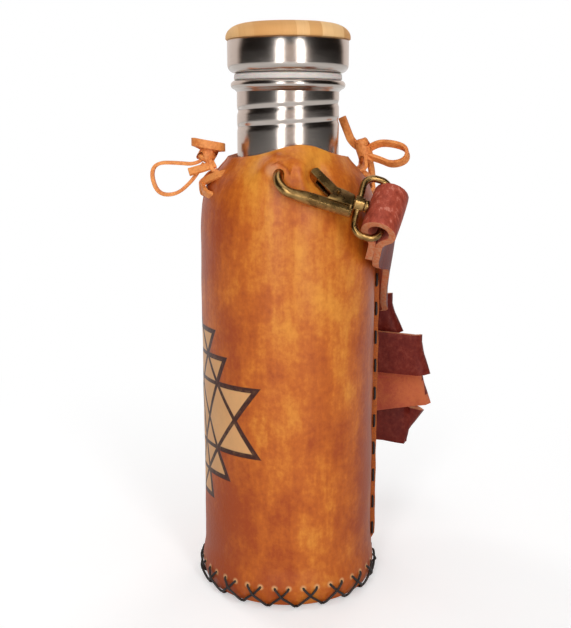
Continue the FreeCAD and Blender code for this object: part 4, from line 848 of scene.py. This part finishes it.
def plate(shape, outline, low, high, soften):
    """A flat plate with softened edges, from its outline and the levels of its two faces."""
    corners = [shape.verts.new((along, up, low)) for along, up in outline]
    grown = bmesh.ops.extrude_face_region(shape, geom=[shape.faces.new(corners)])["geom"]
    raised = [part for part in grown if isinstance(part, bmesh.types.BMVert)]
    bmesh.ops.translate(shape, vec=(0, 0, high - low), verts=raised)
    edges = [edge for vert in corners + raised for edge in vert.link_edges]
    soften_edges(shape, edges, soften)


def drawn_on(shape, edges, place):
    """Extrude a ring of edges and put each new vertex in its place."""
    grown = bmesh.ops.extrude_edge_only(shape, edges=edges)["geom"]
    verts = [part for part in grown if isinstance(part, bmesh.types.BMVert)]
    for vert in verts:
        vert.co = place(vert.co)
    made = set(verts)
    ring = [edge for vert in verts for edge in vert.link_edges if edge.other_vert(vert) in made]
    return list(dict.fromkeys(ring))


def bar_section(spot, along, square):
    """A bar's outline at a place along it, from round to square with rounded corners."""
    around = math.atan2(spot.z, spot.y)
    reach = (abs(math.cos(around)) ** square + abs(math.sin(around)) ** square) ** (1 / square)
    half = WIRE_RADIUS
    if along >= BAR_END:
        half -= 0.5
    return Vector((along, half * math.cos(around) / reach, half * math.sin(around) / reach))


def hook_shape(side):
    """Nose, bend and bar of a hook, the cheeks and back wall of its gate's housing, and its shank."""
    shape = bmesh.new()
    turned = Matrix.Rotation(math.pi / 2, 4, "Y")
    ring = bmesh.ops.create_circle(shape, radius=WIRE_RADIUS, segments=32)["verts"]
    bmesh.ops.transform(shape, matrix=Matrix.Translation((BEND_RADIUS, NOSE_UP, 0)) @ turned, verts=ring)
    nose = shape.edges[:]
    grown = bmesh.ops.spin(shape, geom=ring + nose, cent=(BEND_RADIUS, BEND_RADIUS, 0), axis=(0, 0, 1),
                           angle=math.pi, steps=30)["geom_last"]
    bar = [part for part in grown if isinstance(part, bmesh.types.BMEdge)]
    for along, square in BAR_SECTIONS:
        bar = drawn_on(shape, bar, lambda spot: bar_section(spot, along, square))
    nose = drawn_on(shape, nose, lambda spot: Vector((NOSE_END, spot.y, spot.z)))
    for step in range(NOSE_STEPS):
        turn = NOSE_TURN * (step + 1)
        ahead = NOSE_END + WIRE_RADIUS * math.sin(turn)
        scale = math.cos(turn) / math.cos(NOSE_TURN * step)
        nose = drawn_on(shape, nose, lambda spot: Vector((ahead, NOSE_UP + (spot.y - NOSE_UP) * scale,
                                                          spot.z * scale)))
    bmesh.ops.holes_fill(shape, edges=list(dict.fromkeys(bar + nose)), sides=0)
    for low, high in ((-CHEEK_FACE, -CHEEK_ROOM), (CHEEK_ROOM, CHEEK_FACE)):
        plate(shape, CHEEK, low, high, 0.3)
    plate(shape, BACK_WALL, -CHEEK_FACE, CHEEK_FACE, 0.6)
    for radius, low, high, soften in SHANK:
        disc = bmesh.ops.create_cone(shape, cap_ends=True, segments=32, radius1=radius, radius2=radius,
                                     depth=high - low)["verts"]
        place = Matrix.Translation(((low + high) / 2, SHANK_UP, 0)) @ turned
        bmesh.ops.transform(shape, matrix=place, verts=disc)
        rims = [edge for vert in disc for edge in vert.link_edges
                if abs(edge.verts[0].co.x - edge.verts[1].co.x) < 0.01]
        soften_edges(shape, rims, soften)
    corner, along, up, out = hook_axes(side)
    place = Matrix.Translation(corner * MM) @ Matrix((along * MM, up * MM, out * MM)).transposed().to_4x4()
    bmesh.ops.transform(shape, matrix=place, verts=shape.verts)
    bmesh.ops.recalc_face_normals(shape, faces=shape.faces)
    return shape


def smooth_copy(name, node, finish, bevel, sharp=35):
    """A copy of a CAD node with softened edges, which stands for it."""
    shape = bmesh.new()
    shape.from_mesh(frame["nodes"][node].data)
    bmesh.ops.remove_doubles(shape, verts=shape.verts, dist=1e-6)
    if bevel:
        bmesh.ops.dissolve_limit(shape, angle_limit=math.radians(1), verts=shape.verts, edges=shape.edges)
    made = mesh_object(name, shape, (finish,), sharp)
    if bevel:
        round_off = made.modifiers.new("round_off", "BEVEL")
        round_off.width = bevel * MM
        round_off.segments = 2
        round_off.angle_limit = math.radians(sharp)
        round_off.harden_normals = True
        round_off.use_clamp_overlap = False
    return settle(made, node)


def curve_mesh(routes, fineness, depth=0.0):
    """Mesh of smooth lines along routes in metres, as round threads when they have a depth."""
    data = bpy.data.curves.new("route", "CURVE")
    data.dimensions = "3D"
    data.bevel_depth = depth
    data.bevel_resolution = 3
    data.use_fill_caps = True
    for route in routes:
        line = data.splines.new("NURBS")
        line.points.add(len(route) - 1)
        for point, spot in zip(line.points, route):
            point.co = (*spot, 1)
        line.order_u = 3
        line.use_endpoint_u = True
        line.resolution_u = fineness
    curve = linked("route", data)
    seen = curve.evaluated_get(bpy.context.evaluated_depsgraph_get())
    mesh = bpy.data.meshes.new_from_object(seen)
    bpy.data.objects.remove(curve)
    return mesh


def route_points(route):
    """Points read from the smooth line of a route, in metres."""
    mesh = curve_mesh([route], 8)
    points = [vert.co.copy() for vert in mesh.vertices]
    bpy.data.meshes.remove(mesh)
    return points


def thread_piece(name, routes, node):
    """Waxed threads along routes in millimetres, as one piece."""
    mesh = curve_mesh([[Vector(spot) * MM for spot in route] for route in routes], 5, sizes().thread / 2)
    mesh.name = name
    mesh.shade_smooth()
    return settle(new_object(name, mesh, ("waxed_thread",)), node)


def ring_spot(radius, degrees, up):
    turn = math.radians(degrees)
    return (radius * math.cos(turn), radius * math.sin(turn), up)


def stitch(hand, low, high):
    """A thread from the seam's middle out over one of its faces and back."""
    rise = [(STITCH_OUT, hand * proud, low + step) for proud, step in STITCH_HALF]
    crest = (STITCH_OUT, hand * STITCH_PROUD, (low + high) / 2)
    fall = [(STITCH_OUT, hand * proud, high - step) for proud, step in STITCH_HALF[::-1]]
    return rise + [crest] + fall


class CARRIER_OT_threads(bpy.types.Operator):
    """Cross lacing round the foot and running stitches of the seam"""

    bl_idname = "carrier.threads"
    bl_label = "Waxed threads"

    def execute(self, context):
        crosses = []
        for place in range(CROSS_COUNT):
            middle = CROSS_START + place * 360 / CROSS_COUNT
            for hand, lift in ((-1, UNDER_LIFT), (1, OVER_LIFT)):
                crosses.append([ring_spot(radius + lift * share, middle + hand * turn, up)
                                for radius, turn, up, share in CROSS_ROUTE])
        thread_piece("foot_lacing", crosses, "base_lacing")
        stitches = []
        for index in range(STITCH_COUNT):
            foot = FIN_FOOT + STITCH_FOOT + index * STITCH_PITCH
            top = foot + STITCH_LENGTH
            stitches.append(stitch(-1, foot, top))
            if index + 1 < STITCH_COUNT:
                stitches.append(stitch(1, top + STITCH_GAP, foot + STITCH_PITCH - STITCH_GAP))
        thread_piece("seam_stitches", stitches, "seam_stitching")
        return {"FINISHED"}


def ribbon(points, ways, width, columns, crown=0.0):
    """A flat strip laid along points, with the way of its width at each, and its own UV map."""
    shape = bmesh.new()
    rows = len(points) - 1
    bmesh.ops.create_grid(shape, x_segments=columns, y_segments=rows, size=0.5)
    layer = shape.loops.layers.uv.new("strip")
    run = [0.0]
    for before, after in zip(points, points[1:]):
        run.append(run[-1] + (after - before).length)
    for face in shape.faces:
        for loop in face.loops:
            loop[layer].uv = (loop.vert.co.x * width, run[round((loop.vert.co.y + 0.5) * rows)])
    for vert in shape.verts:
        row = round((vert.co.y + 0.5) * rows)
        share = vert.co.x * -2
        ahead = (points[min(row + 1, rows)] - points[max(row - 1, 0)]).normalized()
        across = ways[row] - ahead * ways[row].dot(ahead)
        across.normalize()
        face_way = ahead.cross(across)
        vert.co = points[row] + across * (share * width / 2) + face_way * (crown * (1 - share * share))
    return shape


def thong_band(name, points, ways):
    shape = ribbon(points, ways, sizes().thong_width, 4)
    made = mesh_object(name, shape, ("thong_leather",), 0)
    thicken(made, sizes().thong_thickness, 0.25)
    made.data.set_sharp_from_angle(angle=math.radians(32))
    return made


def knot_piece(name, centre, node, tilt, stretch):
    """A thong knot: turns side by side with a turn drawn over them."""
    profile = [(0, -0.5 * KNOT_ACROSS)]
    tall = KNOT_ACROSS / KNOT_TURNS
    for turn in range(KNOT_TURNS):
        low = -0.5 * KNOT_ACROSS + turn * tall
        for step in range(1 if turn else 0, KNOT_STEPS + 1):
            share = step / KNOT_STEPS
            radius = KNOT_ACROSS * (KNOT_CORE + KNOT_SWELL * math.sin(math.pi * share))
            profile.append((radius, low + tall * share))
    profile.append((0, 0.5 * KNOT_ACROSS))
    shape = spun(profile, 40)
    for vert in shape.verts:
        wave = KNOT_WAVE * MM * noise.noise(vert.co / MM / KNOT_WAVE_BREADTH)
        vert.co += vert.co.normalized() * wave
    wrap = []
    for step in range(WRAP_STEPS + 1):
        degrees = 360 * step / WRAP_STEPS
        sway = WRAP_SWAY * math.sin(math.radians(2 * degrees))
        wrap.append(Vector(ring_spot(WRAP_RADIUS, degrees, sway)) * MM)
    over = ribbon(wrap, [UPRIGHT] * len(wrap), sizes().thong_width * WRAP_NARROWER, 4)
    bmesh.ops.solidify(over, geom=over.faces[:], thickness=sizes().thong_thickness * WRAP_THINNER)
    data = bpy.data.meshes.new("wrap")
    over.to_mesh(data)
    over.free()
    shape.from_mesh(data)
    bpy.data.meshes.remove(data)
    thinner = 1 / math.sqrt(stretch)
    bmesh.ops.scale(shape, vec=(thinner, thinner, stretch), verts=shape.verts)
    place = Matrix.Translation(Vector(centre) * MM) @ Matrix.Rotation(math.radians(tilt), 4, "Y")
    bmesh.ops.transform(shape, matrix=place, verts=shape.verts)
    bmesh.ops.recalc_face_normals(shape, faces=shape.faces)
    return dressed(name, shape, "thong_leather", 50, node)


class CARRIER_OT_bows(bpy.types.Operator):
    """Thong laced over each slit, with knots, loops and tails"""

    bl_idname = "carrier.bows"
    bl_label = "Thong lacing and bows"

    def execute(self, context):
        for name, (knot, offsets, across) in BOWS.items():
            route = [(Vector(knot) + Vector(offset)) * MM for offset in offsets]
            points = route_points(route)
            band = thong_band(name + "_band", points, [Vector(across)] * len(points))
            settle(band, name)
        knot_piece("left_thong_knot", LEFT_KNOT, "left_knot", 28, 1.1)
        knot_piece("right_thong_knot", RIGHT_KNOT, "right_knot", -18, 1.4)
        for side, name, knot in ((-1, "left_lacing", LEFT_KNOT), (1, "right_lacing", RIGHT_KNOT)):
            self.lacing(side, name, Vector(knot))
        return {"FINISHED"}

    def lacing(self, side, name, knot):
        """Thong crossed over a slit, and its two ends up to the knot."""
        pieces = []
        for hand in (-1, 1):
            cross = []
            for share, up, proud in LACE_ROUTE:
                way = share * hand
                reach = way * (LEFT_FRONT_REACH if side < 0 and way < 0 else EYELET_REACH)
                round_share = math.sqrt(1 - (reach / smooth_table(SLEEVE_FRONT, up)) ** 2)
                out = smooth_table(SLEEVE_SIDE, up) * round_share + proud
                if share == 0 and hand > 0:
                    out += LACE_OVER
                cross.append(Vector((side * out, reach, up)) * MM)
            points = route_points(cross)
            pieces.append(thong_band(name + "_cross", points, [Vector((0, 1, hand))] * len(points)))
            edge = smooth_table(SLEEVE_SIDE, LACE_TOP)
            rise = [Vector((side * (edge - 2), hand * LACE_RISE, LACE_TOP - 0.4)),
                    Vector((side * (edge + 2.4), hand * LACE_RISE, LACE_TOP + 1)),
                    knot + Vector((-side * 0.6, hand * 3.4, -4.4)), knot + Vector((0, hand * 1.4, -1.6))]
            points = route_points([spot * MM for spot in rise])
            pieces.append(thong_band(name + "_rise", points, [Vector((0, 1, 0))] * len(points)))
        with bpy.context.temp_override(active_object=pieces[0], selected_editable_objects=pieces):
            bpy.ops.object.join()
        pieces[0].name = name + "_bands"
        settle(pieces[0], name)


class CARRIER_OT_hooks(bpy.types.Operator):
    """Snap hooks with their gates, pins, springs, swivel rings and strap rivets"""

    bl_idname = "carrier.hooks"
    bl_label = "Snap hooks"

    def execute(self, context):
        for side in HOOK_SIDES:
            dressed(side + "_hook_body_brass", hook_shape(side), "aged_brass", 40, "hook_body_" + side)
            for node, bevel in HOOK_COPIES:
                smooth_copy("%s_%s_brass" % (side, node), "%s_%s" % (node, side), "aged_brass", bevel)
            smooth_copy(side + "_spring_wire", "hook_spring_" + side, "spring_wire", 0, 50)
        return {"FINISHED"}


def strap_line(stations):
    """Smooth points and width ways through strap stations given in millimetres."""
    spots = [Vector(spot) for spot, way in stations]
    ways = [Vector(way).normalized() for spot, way in stations]
    last = len(spots) - 1
    heading = [(spots[min(i + 1, last)] - spots[max(i - 1, 0)]).normalized() for i in range(last + 1)]
    points, turns = [spots[0] * MM], [ways[0]]
    for i in range(last):
        gap = (spots[i + 1] - spots[i]).length
        count = max(2, round(gap / STRAP_STEP) + 1)
        curve = geometry.interpolate_bezier(spots[i], spots[i] + heading[i] * gap / 3,
                                            spots[i + 1] - heading[i + 1] * gap / 3, spots[i + 1], count)
        for step in range(1, count):
            points.append(curve[step] * MM)
            turns.append(ways[i].lerp(ways[i + 1], step / (count - 1)).normalized())
    return points, turns


def loop_stations(side, runs_in):
    """Stations of a strap end round its ring, from the tail to the run, or the other way."""
    origin, leave, width, lift = (Vector(part) for part in STRAP_LOOPS[side])
    outline = list(LOOP_TAIL)
    outline += [(LOOP_RADIUS * math.cos(math.radians(turn)), -LOOP_RADIUS * math.sin(math.radians(turn)))
                for turn in range(66, 295, 19)]
    outline += list(LOOP_RUN)
    stations = [(origin + leave * along + lift * out, width) for along, out in outline]
    return stations[::-1] if runs_in else stations


def strap_fold(start, end, outward, across):
    """Stations of a fold between the ends of two passes."""
    middle, half = (start + end) / 2, (start - end) / 2
    bulge = max(half.length, FOLD_BULGE)
    turns = [math.pi * step / FOLD_STEPS for step in range(1, FOLD_STEPS)]
    return [(middle + half * math.cos(turn) + outward * (bulge * math.sin(turn)), across) for turn in turns]


class CARRIER_OT_strap(bpy.types.Operator):
    """Shoulder strap: an end round each ring, and its bunched run behind the sleeve"""

    bl_idname = "carrier.strap"
    bl_label = "Shoulder strap"

    def strap_part(self, name, stations, dress):
        points, ways = strap_line(stations)
        shape = ribbon(points, ways, sizes().strap_width, 8, 0.25 * MM)
        for face in shape.faces:
            face.material_index = dress(face.calc_center_median() / MM)
        made = mesh_object(name, shape, STRAP_FINISHES, 0)
        thicken(made, sizes().strap_thickness, 0.5, back=1, rim=2)
        made.data.set_sharp_from_angle(angle=SHARP_EDGE)
        return made

    def bundle_side(self, spot):
        """First finish of a face: one pass shows its flesh side to the front."""
        right, left = (Vector(end) for end in STRAP_PASSES[FLESH_PASS][:2])
        share = (spot - left).dot(right - left) / (right - left).length_squared
        beside = spot - left.lerp(right, share)
        return FLESH_OUT if beside.length < FLESH_HALF and abs(beside.y) < 1 else GRAIN_OUT

    def execute(self, context):
        # Faces near the front ring take the worn finish with its painted sheen.
        axis = Vector(STRAP_LOOPS["front"][0])
        front = self.strap_part("strap_front_end", loop_stations("front", False) + list(STRAP_DROP),
                                lambda spot: WORN_AND_SHEEN_OUT if (spot - axis).length < 14 else GRAIN_OUT)
        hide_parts("strap_loop_front")
        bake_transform(front)
        passes = [(Vector(right), Vector(left), Vector((slant, 0, 1)))
                  for right, left, slant in STRAP_PASSES]
        right_way = (passes[0][0] - passes[0][1]).normalized()
        stations = [STRAP_DROP[-1]]
        for index, (right, left, slant) in enumerate(passes):
            goes_left = index % 2 == 0
            ends = [(right, slant), (left, UPRIGHT)]
            stations += ends if goes_left else ends[::-1]
            if index + 1 < len(passes):
                spot, across = stations[-1]
                follow = passes[index + 1][1 if goes_left else 0]
                stations += strap_fold(spot, follow, right_way * (-1 if goes_left else 1), across)
        last = stations[-1][0]
        stations += strap_fold(last, last + Vector((1, 6, 1.5)), right_way * -1, UPRIGHT)
        stations += [(Vector(spot), Vector(way)) for spot, way in STRAP_RISE[:2]]
        bundle = self.strap_part("strap_bundle", stations, self.bundle_side)
        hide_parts("strap_run")
        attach(bundle, "carrier")
        rear = self.strap_part("strap_rear_end", list(STRAP_RISE[1:]) + loop_stations("rear", True),
                               lambda spot: GRAIN_OUT)
        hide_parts("strap_loop_rear")
        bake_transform(rear)
        return {"FINISHED"}


class CARRIER_OT_bottle(bpy.types.Operator):
    """Steel bottle with its rolled neck, and the lid of bamboo, steel, silicone and plug"""

    bl_idname = "carrier.bottle"
    bl_label = "Bottle and lid"

    def execute(self, context):
        outer = [(0, 4.6), (24, 4.6), (26, 3.3), (32.6, 3.3)] + rounded(32.8, 7.3, 4, -85, 0)
        outer += [(WALL_OUT, 40), (WALL_OUT, 100)] + rounded(SHOULDER_IN, SHOULDER_UP, 30, 0, 57, 16)
        outer += [(22.9, 185.6), (NECK_OUT, NECK_FROM)]
        outer += [(NECK_OUT, NECK_FROM + NECK_TALL * step / NECK_ROWS) for step in range(1, NECK_ROWS + 1)]
        outer += rounded(23.6, 231.9, 1.9, -80, 120, 10) + [(22.4, 232.8)]
        inner = [(NECK_IN, 231.6), (NECK_IN, NECK_FROM), (22.2, 185)]
        inner += rounded(SHOULDER_IN, SHOULDER_UP, 29.2, 56, 0, 12) + [(WALL_IN, 60), (WALL_IN, 9)]
        inner += rounded(32.6, 7.5, 3.4, 0, -80, 4) + [(26, 4.1), (24, 5.4), (0, 5.4)]
        shape = spun(outer + inner, 128)
        self.roll_groove(shape)
        dressed("steel_bottle", shape, "brushed_steel", 45, "bottle_shell")
        gasket = [(21.9, 233.9)] + rounded(23.2, 234.7, 0.8, -90, 0, 4)
        gasket += rounded(23.2, 235.9, 0.8, 0, 90, 4) + [(21.9, 236.7)]
        dressed("gasket_ring", spun(gasket, 96, True), "pale_silicone", 60, "lid_gasket")
        cup = [(21.8, 237)] + rounded(*CUP_CORNER, 3.6, -90, 0, 10)
        cup += [(CUP_OUT, 245), (CUP_OUT, 250.9), (26.6, 251.2), (CUP_IN, 251.2), (CUP_IN, 241)]
        cup += rounded(*CUP_CORNER, 2.7, 0, -90, 8) + [(21.8, 237.9)]
        dressed("lid_steel_cup", spun(cup, 128, True), "brushed_steel", 50, "lid_cup")
        plug = [(0, 219.4), (18.5, 219.4), (20.4, 219.6), (21.2, 220.6)]
        for low in (222, 226, 230):
            plug += [(20.6, low), (20.6, low + 1.4), (21.4, low + 2), (21.4, low + 3)]
        plug += [(21.3, 235), (21.3, 246.6), (0, 246.6)]
        dressed("lid_inner_plug", spun(plug, 96), "pale_silicone", 40, "lid_plug")
        top = [(0, 247.3), (25.7, 247.3), (25.9, 247.6), (25.9, 251.2), (27.3, 251.2), (27.6, 251.5),
               (27.6, 252.2)]
        for degrees in range(0, 90, 6):
            turn = math.radians(degrees)
            top.append((CAP_IN + CAP_WIDE * math.cos(turn), CAP_FROM + CAP_TALL * math.sin(turn)))
        top += [(14, 258.3), (0, 258.5)]
        dressed("bamboo_cap", spun(top, 128), "bamboo_strips", 50, "lid_bamboo_top")
        return {"FINISHED"}

    def roll_groove(self, shape):
        """Press the rolled thread into the neck."""
        groove, pitch = sizes().groove, sizes().groove_pitch / MM
        for vert in shape.verts:
            up = vert.co.z / MM
            radius = vert.co.xy.length
            if GROOVE_ZONE[0] < up < GROOVE_ZONE[1] and radius > 22.5 * MM:
                turn = math.atan2(vert.co.y, vert.co.x) / math.tau
                turn += round((up - GROOVE_MIDDLE) / pitch - turn)
                away = up - GROOVE_MIDDLE - pitch * turn
                faded = ease(turn, *GROOVE_START) * (1 - ease(turn, *GROOVE_END))
                depth = groove * faded * math.exp(-(away / GROOVE_WIDTH) ** 2)
                vert.co.xy *= (radius - depth) / radius


def area_lamp(name, spot, target, wide, tall, power, mirrored):
    data = bpy.data.lights.new(name, "AREA")
    data.shape = "RECTANGLE"
    data.size, data.size_y = wide, tall
    data.energy = power
    lamp = linked(name, data)
    lamp.location = spot
    lamp.visible_glossy = mirrored
    lamp.rotation_euler = (Vector(target) - Vector(spot)).to_track_quat("-Z", "Y").to_euler()


class CARRIER_OT_stage(bpy.types.Operator):
    """Pale floor, soft studio light, white background and camera"""

    bl_idname = "carrier.stage"
    bl_label = "Stage"

    def execute(self, context):
        scene = context.scene
        scene.view_settings.view_transform = "Standard"
        shape = bmesh.new()
        bmesh.ops.create_grid(shape, x_segments=2, y_segments=2, size=FLOOR_SIZE)
        data = bpy.data.meshes.new("floor")
        shape.to_mesh(data)
        shape.free()
        floor = linked("floor", data)
        data.materials.append(self.floor_finish())
        self.background(scene)
        for name, lamp in LAMPS.items():
            area_lamp(name, *lamp)
        data = bpy.data.cameras.new("photo_view")
        data.lens = CAMERA_LENS
        data.shift_x = CAMERA_SHIFT
        data.clip_start = 0.01
        camera = linked("photo_view", data)
        camera.location = CAMERA_SPOT
        camera.rotation_euler = (math.radians(CAMERA_TILT), 0, math.radians(CAMERA_TURN))
        scene.camera = camera
        return {"FINISHED"}

    def floor_finish(self):
        """White floor that keeps the object's shadow."""
        made, shader, place = new_finish("floor_finish", {"Roughness": 0.9, "Specular IOR Level": 0.0})
        light = place.node("ShaderNodeLightPath", {}, {}, "Is Camera Ray")
        mirrored = place.node("ShaderNodeLightPath", {}, {}, "Is Glossy Ray")
        x, y, z = place.parts()
        far = place.math("SQRT", x * x + y * y).rise(0.1, 0.42)
        mist = place.cloud(3, 2)
        feed(shader, {"Base Color": mist.mix((0.8, 0.8, 0.8, 1), (0.82, 0.82, 0.82, 1))})
        white = place.node("ShaderNodeEmission", {}, {"Color": WHITE, "Strength": 1.0})
        near = place.node("ShaderNodeEmission", {}, {"Color": WHITE, "Strength": 0.4})
        dark = place.node("ShaderNodeEmission", {}, {"Strength": 0.0})
        shown = place.node("ShaderNodeMixShader", {}, {0: light, 1: dark, 2: near})
        lit = place.node("ShaderNodeAddShader", {}, {0: Wire(made.node_tree, shader.outputs[0]), 1: shown})
        whiter = far * light.high(mirrored * 0.5)
        both = place.node("ShaderNodeMixShader", {}, {0: whiter, 1: lit, 2: white})
        out = made.node_tree.nodes["Material Output"]
        made.node_tree.links.new(both.socket, out.inputs["Surface"])
        return made

    def background(self, scene):
        """White where the camera looks, white behind the object in the metal, soft elsewhere."""
        world = bpy.data.worlds.new("studio")
        scene.world = world
        world.use_nodes = True
        tree = world.node_tree
        ground = tree.nodes["Background"]
        start = Wire(tree)
        way = start.node("ShaderNodeTexCoord", {}, {}, "Generated")
        seen = start.node("ShaderNodeLightPath", {}, {}, "Is Camera Ray")
        glossy = start.node("ShaderNodeLightPath", {}, {}, "Is Glossy Ray")
        through = start.node("ShaderNodeLightPath", {}, {}, "Is Transmission Ray")
        back = way.parts()[1]
        behind = back.rise(0.3, 0.55)
        mirror = 0.012 + behind * 0.9 + back.fall(-0.99, -0.8) * 0.45
        level = AMBIENT + glossy.high(through) * (mirror - AMBIENT)
        level = level + seen * (1 - level)
        warm = (glossy * (1 - behind * 0.6)).mix(WHITE, (1, 0.76, 0.64, 1))
        tree.links.new(warm.socket, ground.inputs["Color"])
        tree.links.new(level.socket, ground.inputs["Strength"])


class CARRIER_PT_sidebar(bpy.types.Panel):
    """Steps that build the carrier, and its sizes and colours"""

    bl_idname = "CARRIER_PT_sidebar"
    bl_label = "Bottle carrier"
    bl_space_type = "VIEW_3D"
    bl_region_type = "UI"
    bl_category = "Carrier"

    def draw(self, context):
        for step in STEPS:
            self.layout.operator(step.bl_idname)
        for group in (sizes(), colours()):
            for name in group.__annotations__:
                self.layout.prop(group, name)


STEPS = (CARRIER_OT_stage, CARRIER_OT_bows, CARRIER_OT_sleeve, CARRIER_OT_threads, CARRIER_OT_hooks,
         CARRIER_OT_strap, CARRIER_OT_bottle)
CLASSES = (CarrierSizes, CarrierColours, *STEPS, CARRIER_PT_sidebar)


def register():
    for kind in CLASSES:
        bpy.utils.register_class(kind)
    bpy.types.Scene.carrier_sizes = PointerProperty(type=CarrierSizes)
    bpy.types.Scene.carrier_colours = PointerProperty(type=CarrierColours)


def unregister():
    del bpy.types.Scene.carrier_colours
    del bpy.types.Scene.carrier_sizes
    for kind in reversed(CLASSES):
        bpy.utils.unregister_class(kind)


def main():
    register()
    bpy.ops.carrier.stage()
    bpy.ops.carrier.bows()
    bpy.ops.carrier.sleeve()
    bpy.ops.carrier.threads()
    bpy.ops.carrier.hooks()
    bpy.ops.carrier.strap()
    bpy.ops.carrier.bottle()


if __name__ == "__main__":
    main()
